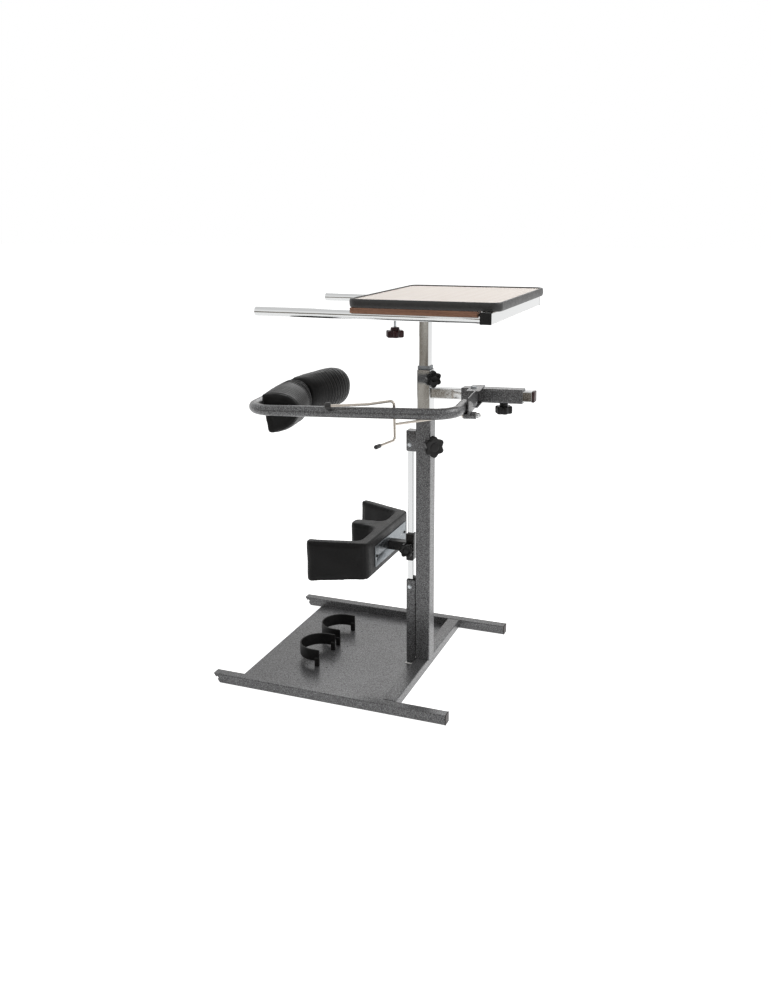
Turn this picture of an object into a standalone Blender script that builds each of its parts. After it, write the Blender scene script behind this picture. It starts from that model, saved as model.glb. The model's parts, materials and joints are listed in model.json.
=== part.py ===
"""Standing frame: floor frame, column, knee support, swinging hip hoop and work table.

Metres, +Z up. The origin is on the column's axis, at floor level. The user stands on the -X side and
faces +X. The side arm points to +X, and -Y is the side where the hip hoop is hinged.
"""

import math

import bmesh
import bpy
from mathutils import Matrix, Vector

# Clearances and shared sections
GAP = 0.0003
TUBE_CORNER = 0.003
TUBE_WALL = 0.002
THIN_WALL = 0.0015
OVERSHOOT = 0.01

# Floor frame
RAIL_SIDE = 0.030
RAIL_Y = 0.317
RAIL_USER_END = -0.5615
RAIL_ARM_END = 0.1757
RAIL_SLANT = 0.0215
RAIL_HOLE = (-0.549, 0.0165, 0.004)
CAP_FLANGE = 0.003
CAP_INSERT = 0.016
PLATE_THICKNESS = 0.003
PLATE_USER_END = -0.497
CROSSBAR_HALF = 0.020

# Heel cups: bands that are open towards +X, each on two legs
HEEL_Y = (-0.0705, 0.0915)
HEEL_X = -0.327
HEEL_RADIUS = 0.061
HEEL_BAND = 0.0045
HEEL_ARM_END = -0.302
HEEL_LOW = 0.020
HEEL_HIGH = 0.058
HEEL_LEG_WIDTH = 0.015
HEEL_LEG_HALF = 0.005
HOLE_PITCH = 0.0325
HOLE_RADIUS = 0.0026
SCREW_HEAD_RADIUS = 0.0048
SCREW_RADIUS = 0.0024
SCREW_DEPTH = 0.014

# Column, mast and table post: square tubes that slide in each other
COLUMN_HALF = 0.020
COLUMN_TOP = 0.810
MAST_HALF = 0.0175
MAST_LOW = 0.450
MAST_TOP = 0.9340
BUSH_TOP = 0.945
POST_HALF = 0.015
POST_LOW = 0.660
POST_TOP = 1.0862
BOSS_RADIUS = 0.009
BOSS_HEIGHT = 0.0015

# Knee support
KNEE_POST_X = -0.0395
KNEE_POST_HALF = 0.015
KNEE_POST_TOP = 0.285
KNEE_RAIL_X = -0.043
KNEE_RAIL_HALF = 0.00875
KNEE_RAIL_LOW = 0.170
KNEE_RAIL_TOP = 0.745
BRACKET_USER_X = -0.054
BRACKET_LOW = 0.691
BRACKET_TOP = 0.7535
BOLT_RADIUS = 0.003
BOLT_TOP_Z = 0.711
BOLT_LOW_Z = 0.263
CLAMP_HALF = 0.0108
CLAMP_LOW = 0.3495
CLAMP_TOP = 0.4345
CLAMP_NEAR = 0.018
KNEE_KNOB_Z = 0.391
KNEE_ARM_Z = 0.3905
KNEE_ARM_HALF = 0.0145
KNEE_PLATE_X = -0.1117
KNEE_PLATE_Y = (-0.120, 0.137)
KNEE_PLATE_Z = (0.355, 0.420)
KNEE_PAD_BACK = -0.115
KNEE_PAD_LOW = 0.335
KNEE_PAD_TOP = 0.447
KNEE_PAD_THICKNESS = 0.030
KNEE_PAD_Y = (-0.180, 0.163)
KNEE_WING_LENGTH = 0.178
KNEE_WING_ANGLES = (math.radians(15.0), math.radians(20.0))
KNEE_DIVIDER_TIP = -0.235
KNEE_DIVIDER_Y = (-0.017, 0.026)
KNEE_PAD_EDGE = 0.009
KNEE_WING_RISE = 0.004
KNEE_WING_DROP = 0.010

# Side arm, tilted a little upwards to its free end
ARM_Z = 0.8668
ARM_TILT = math.radians(1.25)
ARM_HALF = 0.015
ARM_START = 0.0182
ARM_END = 0.3145
ARM_PLUG = 0.322
SLEEVE_HALF = 0.020
SLEEVE_START = 0.114
SLEEVE_END = 0.289
SLEEVE_WALL = 0.0046
SLEEVE_CORNER = 0.005
SLEEVE_KNOB_X = 0.2325

# Hip hoop, in its own frame: the origin is on the hinge axis, at the arm's mid height
HINGE_X = 0.154
HINGE_Y = -0.030
HOOP_YAW = math.radians(6.5)
BARREL_RADIUS = 0.0098
HINGE_BOLT_RADIUS = 0.0045
BLOCK_LEFT = -0.0266
BLOCK_RIGHT = 0.0134
BLOCK_NEAR = -0.155
BLOCK_FAR = -0.020
BLOCK_HALF_HEIGHT = 0.0233
BLOCK_WALL = 0.003
FORK_TOP_FAR = 0.052
FORK_TOP_LEFT = -0.0130
FORK_TOP_RIGHT = 0.024
FORK_LOW_FAR = 0.030
FORK_FRONT = -0.050
HOOP_RADIUS = 0.015
HOOP_LEVEL = -0.005
HOOP_START = (-0.0083, -0.100)
HOOP_NEAR_Y = -0.2396
HOOP_REAR_X = -0.586
HOOP_TURN_Y = 0.060
HOOP_TURN = math.radians(26.0)
HOOP_TAIL = 0.200
HOOP_BENDS = (0.062, 0.075, 0.120)
PAD_STANDOFF = 0.0385
PAD_TILT = math.radians(8.0)
PAD_DEPTH = 0.092
PAD_HALF_HEIGHT = 0.054
PAD_DROP = -0.024
PAD_GAP_Y = 0.034
LUG_HALF = 0.020

# Release lever, in the hoop's frame
BEARING_Y = -0.1015
BEARING_LEVEL = -0.0339
BEARING_RADIUS = 0.010
BEARING_X = (-0.0105, 0.0245)
LEVER_RADIUS = 0.0036
LEVER_POST = (-0.1735, -0.2205)
LEVER_TOP = 0.025
LEVER_LOW = -0.0806
LEVER_JOIN = -0.0385
UPPER_KINK = (-0.2400, -0.2368, 0.0170)
UPPER_END = (-0.3425, -0.2620, 0.0150)
LOWER_END = (-0.1987, -0.3017, -0.0806)

# Table
TABLE_X = (-0.133, 0.2825)
TABLE_HALF_Y = 0.2524
TABLE_LOW = 1.1273
TABLE_TOP = 1.1467
TABLE_CORNER = 0.028
EDGE_THICKNESS = 0.003
EDGE_LIP = 0.0033
BATTEN_X = (-0.125, 0.222)
BATTEN_Y = (0.210, 0.249)
BATTEN_LOW = 1.113
SIDE_TUBE_RADIUS = 0.0125
SIDE_TUBE_Y = 0.230
SIDE_TUBE_Z = 1.1075
SIDE_TUBE_START = -0.413
CROSS_TUBE_X = (0.2345, 0.2645)
CROSS_TUBE_LOW = 1.097
CROSS_TUBE_Y = 0.265
CARRIAGE_X = (-0.118, 0.030)
CARRIAGE_LOW = 1.0865
SLIDE_BAR_HALF = 0.015
SLIDE_BAR_START = -0.1235
HANGER_START = -0.1285
TABLE_KNOB_X = -0.0925

# Knobs: head radius, head thickness, gap from the clamped face to the head
COLUMN_KNOB_Z = 0.717
MAST_KNOB_Z = 0.912
KNOB_LOBES = 6
LOBE_STEPS = 6
STUD_RADIUS = 0.004
CORNER_AXIS = Vector((math.sqrt(0.5), -math.sqrt(0.5), 0))
STUD_HOLE = 0.0044
KNOB_HUB = 0.009

PARTS = bpy.data.collections.new("standing_frame")
CUTTERS = bpy.data.collections.new("cutters")


def make_material(name, colour, roughness, metallic=0.0):
    """A Principled material with one colour, as linear red, green and blue."""
    finish = bpy.data.materials.new(name)
    finish.use_nodes = True
    shader = finish.node_tree.nodes["Principled BSDF"]
    shader.inputs["Base Color"].default_value = (*colour, 1.0)
    shader.inputs["Roughness"].default_value = roughness
    shader.inputs["Metallic"].default_value = metallic
    finish.diffuse_color = (*colour, 1.0)
    return finish


def add_empty(name, parent=None, location=(0, 0, 0), rotation=(0, 0, 0)):
    """A joint's frame: pieces under it are drawn in its own axes."""
    frame = bpy.data.objects.new(name, None)
    frame.empty_display_size = 0.05
    frame.parent = parent
    frame.location = location
    frame.rotation_euler = rotation
    PARTS.objects.link(frame)
    return frame


def add_object(name, mesh, finish, parent, location=(0, 0, 0), rotation=(0, 0, 0)):
    """A piece, or a cutter where finish is None."""
    piece = bpy.data.objects.new(name, mesh)
    piece.parent = parent
    piece.location = location
    piece.rotation_euler = rotation
    if finish is None:
        piece.hide_render = True
        piece.display_type = "WIRE"
        CUTTERS.objects.link(piece)
    else:
        mesh.materials.append(finish)
        PARTS.objects.link(piece)
    return piece


def to_mesh(name, bm):
    """A mesh of the bmesh, with its faces pointing out."""
    bmesh.ops.recalc_face_normals(bm, faces=bm.faces)
    mesh = bpy.data.meshes.new(name)
    bm.to_mesh(mesh)
    bm.free()
    return mesh


def smooth(mesh):
    """Smooth shading with sharp edges where faces meet at more than 35 degrees."""
    mesh.shade_smooth()
    mesh.set_sharp_from_angle(angle=math.radians(35.0))


def box_bmesh(low, high):
    """A box between two corners."""
    low = Vector(low)
    high = Vector(high)
    size = high - low
    place = Matrix.Translation((low + high) / 2) @ Matrix.Diagonal((*size, 1.0))
    bm = bmesh.new()
    bmesh.ops.create_cube(bm, size=1.0, matrix=place)
    return bm


def box(name, low, high, finish, parent, bevel=0.0, location=(0, 0, 0), rotation=(0, 0, 0)):
    """A box between two corners, with rounded edges where bevel is given."""
    piece = add_object(name, to_mesh(name, box_bmesh(low, high)), finish, parent, location, rotation)
    if bevel:
        add_bevel(piece, bevel, 2)
    return piece


def add_bevel(piece, width, segments):
    """Rounds the edges where faces meet at more than 50 degrees."""
    modifier = piece.modifiers.new("rounding", "BEVEL")
    modifier.width = width
    modifier.segments = segments
    modifier.limit_method = "ANGLE"
    modifier.angle_limit = math.radians(50.0)
    modifier.use_clamp_overlap = True


def add_wall(piece, wall):
    """Gives an open surface its wall, inwards."""
    modifier = piece.modifiers.new("wall", "SOLIDIFY")
    modifier.thickness = wall
    modifier.offset = -1.0
    modifier.use_even_offset = True


def square_tube(name, low, high, axis, finish, parent, wall=TUBE_WALL, corner=TUBE_CORNER):
    """An open-ended rectangular tube with rounded corners, along the axis with this number."""
    bm = box_bmesh(low, high)
    long_edges = [e for e in bm.edges if abs((e.verts[0].co - e.verts[1].co)[axis]) > GAP]
    bmesh.ops.bevel(bm, geom=long_edges, offset=corner, segments=2, profile=0.5, affect="EDGES")
    bm.normal_update()
    ends = [f for f in bm.faces if abs(f.normal[axis]) > 0.9]
    bmesh.ops.delete(bm, geom=ends, context="FACES_ONLY")
    mesh = to_mesh(name, bm)
    smooth(mesh)
    piece = add_object(name, mesh, finish, parent)
    add_wall(piece, wall)
    return piece


def cylinder(name, radius, start, end, finish, parent, sides=16, end_radius=None):
    """A cylinder or cone from start to end."""
    start = Vector(start)
    end = Vector(end)
    along = end - start
    turn = along.to_track_quat("Z", "Y").to_matrix().to_4x4()
    place = Matrix.Translation((start + end) / 2) @ turn
    bm = bmesh.new()
    far_radius = radius if end_radius is None else end_radius
    bmesh.ops.create_cone(
        bm, cap_ends=True, segments=sides, radius1=radius, radius2=far_radius, depth=along.length, matrix=place
    )
    mesh = to_mesh(name, bm)
    smooth(mesh)
    return add_object(name, mesh, finish, parent)


def cut(piece, cutter):
    """Takes the cutter's shape out of the piece."""
    modifier = piece.modifiers.new("cut", "BOOLEAN")
    modifier.operation = "DIFFERENCE"
    modifier.object = cutter


def fuse(piece, other):
    """Joins another shape to the piece, as a weld does."""
    modifier = piece.modifiers.new("weld", "BOOLEAN")
    modifier.operation = "UNION"
    modifier.object = other


def drill(piece, radius, start, end, parent, sides=12):
    """A round hole through the piece."""
    cut(piece, cylinder(piece.name + "_drill", radius, start, end, None, parent, sides))


def bend(before, corner, after, radius, steps):
    """The arc that rounds a corner between two straight runs."""
    to_before = (before - corner).normalized()
    to_after = (after - corner).normalized()
    half_angle = to_before.angle(to_after) / 2
    run = radius / math.tan(half_angle)
    centre = corner + (to_before + to_after).normalized() * radius / math.sin(half_angle)
    first = corner + to_before * run - centre
    last = corner + to_after * run - centre
    sweep = math.pi - 2 * half_angle
    points = []
    for step in range(steps + 1):
        share = step / steps
        point = first * math.sin((1 - share) * sweep) + last * math.sin(share * sweep)
        points.append(centre + point / math.sin(sweep))
    return points


def rounded_outline(corners, steps=4):
    """A closed outline: each corner is x, y and the radius of its arc."""
    places = [Vector((x, y)) for x, y, radius in corners]
    points = []
    for index, (x, y, radius) in enumerate(corners):
        following = places[(index + 1) % len(places)]
        points += bend(places[index - 1], places[index], following, radius, steps)
    return points


def route(corners, radii, steps):
    """An open route through the corners, each inner one bent to its radius."""
    places = [Vector(corner) for corner in corners]
    points = [places[0]]
    for index, radius in enumerate(radii):
        points += bend(places[index], places[index + 1], places[index + 2], radius, steps)
    points.append(places[-1])
    return points


def curve_mesh(name, curve):
    """The mesh of a curve's data, with its caps welded on."""
    guide = bpy.data.objects.new(name + "_guide", curve)
    bpy.context.scene.collection.objects.link(guide)
    depsgraph = bpy.context.evaluated_depsgraph_get()
    mesh = bpy.data.meshes.new_from_object(guide.evaluated_get(depsgraph))
    bpy.data.objects.remove(guide)
    bm = bmesh.new()
    bm.from_mesh(mesh)
    bmesh.ops.remove_doubles(bm, verts=bm.verts, dist=1e-6)
    return bm


def add_points(curve, points, cyclic):
    """One straight-sided spline through the points."""
    spline = curve.splines.new("POLY")
    spline.points.add(len(points) - 1)
    for place, point in zip(spline.points, points):
        place.co = (*point.to_3d(), 1.0)
    spline.use_cyclic_u = cyclic


def plate_mesh(name, points, low, high):
    """A flat outline in X and Y, filled between two heights."""
    curve = bpy.data.curves.new(name + "_outline", "CURVE")
    curve.dimensions = "2D"
    curve.fill_mode = "BOTH"
    curve.extrude = (high - low) / 2
    curve.render_resolution_u = 0
    add_points(curve, points, True)
    bm = curve_mesh(name, curve)
    bmesh.ops.translate(bm, verts=bm.verts, vec=(0, 0, (low + high) / 2))
    bmesh.ops.dissolve_limit(bm, angle_limit=0.002, verts=bm.verts, edges=bm.edges)
    return to_mesh(name, bm)


def rod_mesh(name, points, radius, resolution, capped=True):
    """A round rod or tube surface along the points."""
    curve = bpy.data.curves.new(name + "_route", "CURVE")
    curve.dimensions = "3D"
    curve.bevel_depth = radius
    curve.bevel_resolution = resolution
    curve.use_fill_caps = capped
    curve.render_resolution_u = 0
    add_points(curve, points, False)
    mesh = to_mesh(name, curve_mesh(name, curve))
    smooth(mesh)
    return mesh


def loft_mesh(name, rings):
    """A closed body through rings that have the same number of points."""
    bm = bmesh.new()
    loops = [[bm.verts.new(point) for point in ring] for ring in rings]
    for first, second in zip(loops, loops[1:]):
        for index in range(len(first)):
            after = (index + 1) % len(first)
            bm.faces.new((first[index], first[after], second[after], second[index]))
    bm.faces.new(loops[0])
    bm.faces.new(loops[-1])
    return to_mesh(name, bm)


def corner_point(half, height):
    """The outermost point of a square tube's rounded near corner."""
    place = half - TUBE_CORNER * (1 - math.sqrt(0.5))
    return Vector((place, -place, height))


def star_knob(name, radius, thickness, standoff, reach, finish, parent, location, rotation):
    """A star knob with its hub and stud. Its own +Z points away from the face that it clamps."""
    count = KNOB_LOBES * LOBE_STEPS
    depth = 0.14 * radius
    points = []
    for index in range(count):
        angle = 2 * math.pi * index / count
        size = radius - depth * (1 - math.cos(KNOB_LOBES * angle)) / 2
        points.append(Vector((size * math.cos(angle), size * math.sin(angle))))
    mesh = plate_mesh(name, points, standoff, standoff + thickness)
    smooth(mesh)
    knob = add_object(name, mesh, finish, parent, location, rotation)
    add_bevel(knob, 0.0025, 2)
    hub_radius = 0.45 * radius
    hub_low = max(BOSS_HEIGHT + GAP, standoff - KNOB_HUB)
    if standoff - hub_low > 2 * GAP:
        hub_top = standoff + 0.002
        hub = cylinder(name + "_hub", hub_radius, (0, 0, hub_low), (0, 0, hub_top), None, knob, 14,
                       hub_radius * 1.2)
        fuse(knob, hub)
    stud = cylinder(name + "_stud", STUD_RADIUS, (0, 0, -reach), (0, 0, standoff + 0.004), None, knob, 10)
    fuse(knob, stud)
    return knob


def threaded_boss(piece, face, direction, wall, parent):
    """A boss welded on the outside of a tube wall, with the hole for a knob's stud."""
    face = Vector(face)
    direction = Vector(direction)
    outer = face + direction * BOSS_HEIGHT
    inner = face - direction * (wall + OVERSHOOT / 2)
    fuse(piece, cylinder(piece.name + "_boss", BOSS_RADIUS, face - direction * wall / 2, outer, None, parent, 14))
    drill(piece, STUD_HOLE, inner, outer + direction * OVERSHOOT, parent, 10)


def corner_boss(tube, half, wall, height, parent):
    """A boss welded over a square tube's near corner at this height, with the hole for a knob's stud."""
    place = corner_point(half, height)
    start = Vector((half / 2, -half / 2, height))
    boss = cylinder(tube.name + "_boss", BOSS_RADIUS, start, place + CORNER_AXIS * BOSS_HEIGHT, None, parent, 14)
    inside = half - 0.85 * wall
    reach = 2 * BOSS_RADIUS
    room = box(tube.name + "_boss_room", (-inside, -inside, height - reach), (inside, inside, height + reach), None,
               parent)
    cut(boss, room)
    fuse(tube, boss)
    drill(tube, STUD_HOLE, start, place + CORNER_AXIS * (BOSS_HEIGHT + OVERSHOOT), parent, 10)


def bolt(name, radius, start, end, head, finish, parent):
    """A hexagon bolt from start to end, with its head before start."""
    start = Vector(start)
    end = Vector(end)
    along = (end - start).normalized()
    shank = cylinder(name, radius, start - along * head / 2, end, finish, parent, 10)
    fuse(shank, cylinder(name + "_head", radius * 1.75, start - along * head, start, None, parent, 6))
    return shank


def build_rails(paint, plastic):
    """Two floor rails: slanted at the user's end, plugged at the other."""
    half = RAIL_SIDE / 2
    hole_x, hole_z, hole_radius = RAIL_HOLE
    past = RAIL_USER_END - OVERSHOOT
    slope = [
        (past, RAIL_SIDE + OVERSHOOT, 0.001),
        (past, -OVERSHOOT, 0.001),
        (RAIL_USER_END + RAIL_SLANT * 1.33, -OVERSHOOT, 0.001),
        (RAIL_USER_END + RAIL_SLANT, 0.0, 0.004),
        (RAIL_USER_END, RAIL_SIDE, 0.001),
        (RAIL_USER_END - RAIL_SLANT / 3, RAIL_SIDE + OVERSHOOT, 0.001),
    ]
    for side, y in (("near", -RAIL_Y), ("far", RAIL_Y)):
        name = "rail_" + side
        low = (RAIL_USER_END, y - half, 0)
        high = (RAIL_ARM_END, y + half, RAIL_SIDE)
        rail = square_tube(name, low, high, 0, paint, None)
        mesh = plate_mesh(name + "_slant", rounded_outline(slope, 2), -RAIL_SIDE, RAIL_SIDE)
        slant = add_object(name + "_slant", mesh, None, None, (0, y, 0), (math.pi / 2, 0, 0))
        cut(rail, slant)
        drill(rail, hole_radius, (hole_x, y - RAIL_SIDE, hole_z), (hole_x, y + RAIL_SIDE, hole_z), None)
        flange_low = (RAIL_ARM_END + GAP, y - half, 0)
        flange_high = (RAIL_ARM_END + CAP_FLANGE, y + half, RAIL_SIDE)
        cap = box("rail_cap_" + side, flange_low, flange_high, plastic, None)
        inner = half - TUBE_WALL - GAP
        insert_low = (RAIL_ARM_END - CAP_INSERT, y - inner, half - inner)
        insert_high = (RAIL_ARM_END + CAP_FLANGE / 2, y + inner, half + inner)
        insert = box("rail_cap_insert_" + side, insert_low, insert_high, None, None)
        chamfer_long_edges(insert, 0)
        fuse(cap, insert)


def chamfer_long_edges(piece, axis):
    """Takes the corners off a plug so that it clears the rounded inside of its tube."""
    bm = bmesh.new()
    bm.from_mesh(piece.data)
    edges = [e for e in bm.edges if abs((e.verts[0].co - e.verts[1].co)[axis]) > GAP]
    bmesh.ops.bevel(bm, geom=edges, offset=0.0016, segments=1, affect="EDGES")
    bm.to_mesh(piece.data)
    bm.free()


def heel_leg_places():
    """The foot of each heel cup leg, from the near side to the far side."""
    x = HEEL_ARM_END - HEEL_LEG_WIDTH / 2
    return [(x, y + side * HEEL_RADIUS) for y in HEEL_Y for side in (-1, 1)]


def build_base_plate(paint):
    """The foot plate with three rows of holes for the heel cups."""
    half_width = RAIL_Y - RAIL_SIDE / 2 - GAP
    low = (PLATE_USER_END, -half_width, 0)
    high = (-CROSSBAR_HALF - GAP, half_width, PLATE_THICKNESS)
    plate = box("base_plate", low, high, paint, None)
    for x, y in heel_leg_places():
        for row in (-1, 0, 1):
            place = x + row * HOLE_PITCH
            drill(plate, HOLE_RADIUS, (place, y, -OVERSHOOT), (place, y, OVERSHOOT), None, 8)
        sink = cylinder(
            "screw_sink", SCREW_HEAD_RADIUS + 0.002, (x, y, -0.001), (x, y, 0.0022), None, None, 10, HOLE_RADIUS
        )
        cut(plate, sink)


def build_heel_cups(plastic, zinc):
    """Two bands round the heels, each with two legs that are screwed on from below."""
    inner = HEEL_RADIUS - HEEL_BAND / 2
    outer = HEEL_RADIUS + HEEL_BAND / 2
    steps = 14
    for side, y in zip(("near", "far"), HEEL_Y):
        angles = [math.pi / 2 + math.pi * step / steps for step in range(steps + 1)]
        points = [Vector((HEEL_ARM_END, y + outer))]
        points += [Vector((HEEL_X + outer * math.cos(a), y + outer * math.sin(a))) for a in angles]
        points += [Vector((HEEL_ARM_END, y - outer)), Vector((HEEL_ARM_END, y - inner))]
        points += [Vector((HEEL_X + inner * math.cos(a), y + inner * math.sin(a))) for a in reversed(angles)]
        points += [Vector((HEEL_ARM_END, y + inner))]
        name = "heel_cup_" + side
        mesh = plate_mesh(name, points, HEEL_LOW, HEEL_HIGH)
        cup = add_object(name, mesh, plastic, None)
        for end in (-1, 1):
            leg_y = y + end * HEEL_RADIUS
            low = (HEEL_ARM_END - HEEL_LEG_WIDTH, leg_y - HEEL_LEG_HALF, PLATE_THICKNESS + GAP)
            high = (HEEL_ARM_END + GAP, leg_y + HEEL_LEG_HALF, HEEL_LOW + 0.012)
            fuse(cup, box(name + "_leg", low, high, None, None))
            foot_x = HEEL_ARM_END - HEEL_LEG_WIDTH / 2
            drill(cup, HOLE_RADIUS, (foot_x, leg_y, -OVERSHOOT), (foot_x, leg_y, SCREW_DEPTH + GAP), None, 8)
    for number, (x, y) in enumerate(heel_leg_places(), 1):
        name = "heel_cup_screw_" + str(number)
        screw = cylinder(name, SCREW_RADIUS, (x, y, 0.001), (x, y, SCREW_DEPTH), zinc, None, 8)
        head = cylinder(
            name + "_head", SCREW_HEAD_RADIUS, (x, y, GAP), (x, y, PLATE_THICKNESS * 0.6), None, None, 10,
            SCREW_RADIUS
        )
        fuse(screw, head)


def build_column(paint):
    """The crossbar between the rails and the column that stands on it."""
    half_width = RAIL_Y - RAIL_SIDE / 2 - GAP
    low = (-CROSSBAR_HALF, -half_width, 0)
    high = (CROSSBAR_HALF, half_width, RAIL_SIDE)
    square_tube("crossbar", low, high, 1, paint, None)
    low = (-COLUMN_HALF, -COLUMN_HALF, RAIL_SIDE + GAP)
    high = (COLUMN_HALF, COLUMN_HALF, COLUMN_TOP)
    column = square_tube("column", low, high, 2, paint, None)
    corner_boss(column, COLUMN_HALF, TUBE_WALL, COLUMN_KNOB_Z, None)


def build_knee_rail(paint, chrome, plastic, zinc):
    """The knee post, the chrome rail in it, and the housing that holds the rail's top."""
    low = (KNEE_POST_X - KNEE_POST_HALF, -KNEE_POST_HALF, PLATE_THICKNESS + GAP)
    high = (KNEE_POST_X + KNEE_POST_HALF, KNEE_POST_HALF, KNEE_POST_TOP)
    post = square_tube("knee_post", low, high, 2, paint, None)
    half = KNEE_RAIL_HALF
    low = (KNEE_RAIL_X - half, -half, KNEE_RAIL_LOW)
    high = (KNEE_RAIL_X + half, half, KNEE_RAIL_TOP)
    rail = square_tube("knee_rail", low, high, 2, chrome, None, THIN_WALL, 0.002)
    plug_low = (KNEE_RAIL_X + half + GAP, -0.0105, KNEE_POST_TOP - 0.030)
    plug_high = (KNEE_POST_X + KNEE_POST_HALF - TUBE_WALL - GAP, 0.0105, KNEE_POST_TOP + 0.008)
    box("knee_post_plug", plug_low, plug_high, plastic, None)
    low = (BRACKET_USER_X, -KNEE_POST_HALF, BRACKET_LOW)
    high = (-COLUMN_HALF - GAP, KNEE_POST_HALF, BRACKET_TOP)
    bracket = box("knee_rail_bracket", low, high, paint, None, 0.002)
    room_low = (BRACKET_USER_X + TUBE_WALL, TUBE_WALL - KNEE_POST_HALF, BRACKET_LOW - OVERSHOOT)
    room_high = (-COLUMN_HALF - GAP - TUBE_WALL, KNEE_POST_HALF - TUBE_WALL, BRACKET_TOP - 0.003)
    cut(bracket, box("bracket_room", room_low, room_high, None, None))
    reach = KNEE_POST_HALF + 0.004
    for name, z, holder in (("top", BOLT_TOP_Z, bracket), ("low", BOLT_LOW_Z, post)):
        for piece in (holder, rail):
            drill(piece, BOLT_RADIUS + GAP, (KNEE_RAIL_X, -0.03, z), (KNEE_RAIL_X, 0.03, z), None, 10)
        start = (KNEE_RAIL_X, -KNEE_POST_HALF - GAP, z)
        bolt("knee_rail_bolt_" + name, BOLT_RADIUS, start, (KNEE_RAIL_X, reach, z), 0.004, zinc, None)


def build_mast(chrome, pale, plastic, mast, arm):
    """The mast in the column, its guide bush, and the side arm welded to it."""
    low = (-MAST_HALF, -MAST_HALF, MAST_LOW)
    high = (MAST_HALF, MAST_HALF, MAST_TOP)
    tube = square_tube("mast_tube", low, high, 2, chrome, mast, THIN_WALL)
    corner_boss(tube, MAST_HALF, THIN_WALL, MAST_KNOB_Z, mast)
    outer = MAST_HALF + 0.0005
    bush = box("mast_bush", (-outer, -outer, MAST_TOP + GAP), (outer, outer, BUSH_TOP), pale, mast, 0.002)
    skirt = MAST_HALF - THIN_WALL - GAP
    fuse(bush, box("bush_skirt", (-skirt, -skirt, MAST_TOP - 0.006), (skirt, skirt, BUSH_TOP - 0.002), None, mast,
                   0.002))
    bore = POST_HALF + GAP
    cut(bush, box("bush_bore", (-bore, -bore, POST_LOW), (bore, bore, POST_TOP), None, mast))
    low = (ARM_START, -ARM_HALF, -ARM_HALF)
    square_tube("arm_tube", low, (ARM_END, ARM_HALF, ARM_HALF), 0, chrome, arm)
    plug = box("arm_end_plug", (ARM_END + GAP, -ARM_HALF, -ARM_HALF), (ARM_PLUG, ARM_HALF, ARM_HALF), plastic, arm,
               0.0015)
    inner = ARM_HALF - TUBE_WALL - GAP
    insert = box("arm_plug_insert", (ARM_END - CAP_INSERT, -inner, -inner), (ARM_PLUG - 0.003, inner, inner), None,
                 arm)
    chamfer_long_edges(insert, 0)
    fuse(plug, insert)


def build_sleeve(paint, sleeve):
    """The sleeve on the arm, with the hinge barrel welded to its near face."""
    low = (SLEEVE_START, -SLEEVE_HALF, -SLEEVE_HALF)
    high = (SLEEVE_END, SLEEVE_HALF, SLEEVE_HALF)
    tube = square_tube("arm_sleeve", low, high, 0, paint, sleeve, SLEEVE_WALL, SLEEVE_CORNER)
    reach = BLOCK_HALF_HEIGHT - BLOCK_WALL - GAP
    top = (HINGE_X, HINGE_Y, reach)
    bottom = (HINGE_X, HINGE_Y, -reach)
    fuse(tube, cylinder("hinge_barrel", BARREL_RADIUS, bottom, top, None, sleeve, 16))
    web_low = (HINGE_X - BARREL_RADIUS, HINGE_Y, -SLEEVE_HALF + 0.004)
    web_high = (HINGE_X + BARREL_RADIUS, -SLEEVE_HALF + 0.002, SLEEVE_HALF - 0.004)
    fuse(tube, box("barrel_web", web_low, web_high, None, sleeve))
    over = BLOCK_HALF_HEIGHT + OVERSHOOT
    drill(tube, HINGE_BOLT_RADIUS + GAP, (HINGE_X, HINGE_Y, -over), (HINGE_X, HINGE_Y, over), sleeve, 14)
    face = (SLEEVE_KNOB_X, 0, -SLEEVE_HALF)
    threaded_boss(tube, face, (0, 0, -1), SLEEVE_WALL, sleeve)


def build_hinge_block(paint, zinc, hoop):
    """The bracket that swings on the barrel: a side wall and a floor between two fork plates, and its bolt."""
    high = BLOCK_HALF_HEIGHT
    plate = high - BLOCK_WALL
    wall_low = (BLOCK_RIGHT - BLOCK_WALL, BLOCK_NEAR, -high)
    block = box("hinge_block", wall_low, (BLOCK_RIGHT, BLOCK_FAR, high), paint, hoop)
    top_low = (FORK_TOP_LEFT, FORK_FRONT, plate)
    fuse(block, box("fork_top", top_low, (FORK_TOP_RIGHT, FORK_TOP_FAR, high), None, hoop))
    floor_low = (BLOCK_LEFT, BLOCK_NEAR, -high)
    fuse(block, box("fork_floor", floor_low, (BLOCK_RIGHT - GAP, FORK_LOW_FAR, -plate), None, hoop))
    side_low = (0.0, FORK_FRONT, -high)
    fuse(block, box("fork_low", side_low, (FORK_TOP_RIGHT - 0.004, FORK_LOW_FAR, -plate), None, hoop))
    drill(block, HINGE_BOLT_RADIUS + GAP, (0, 0, -high - OVERSHOOT), (0, 0, high + OVERSHOOT), hoop, 14)
    bolt("hinge_bolt", HINGE_BOLT_RADIUS, (0, 0, high + GAP), (0, 0, -high - 0.006), 0.005, zinc, hoop)


def hoop_corners():
    """The corners of the hoop tube's centre line, in the hoop's frame."""
    turn = Vector((HOOP_REAR_X, HOOP_TURN_Y, HOOP_LEVEL))
    tail = turn + Vector((math.sin(HOOP_TURN), math.cos(HOOP_TURN), 0)) * HOOP_TAIL
    return [
        (*HOOP_START, HOOP_LEVEL),
        (HOOP_START[0], HOOP_NEAR_Y, HOOP_LEVEL),
        (HOOP_REAR_X, HOOP_NEAR_Y, HOOP_LEVEL),
        tuple(turn),
        tuple(tail),
    ]


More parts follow.
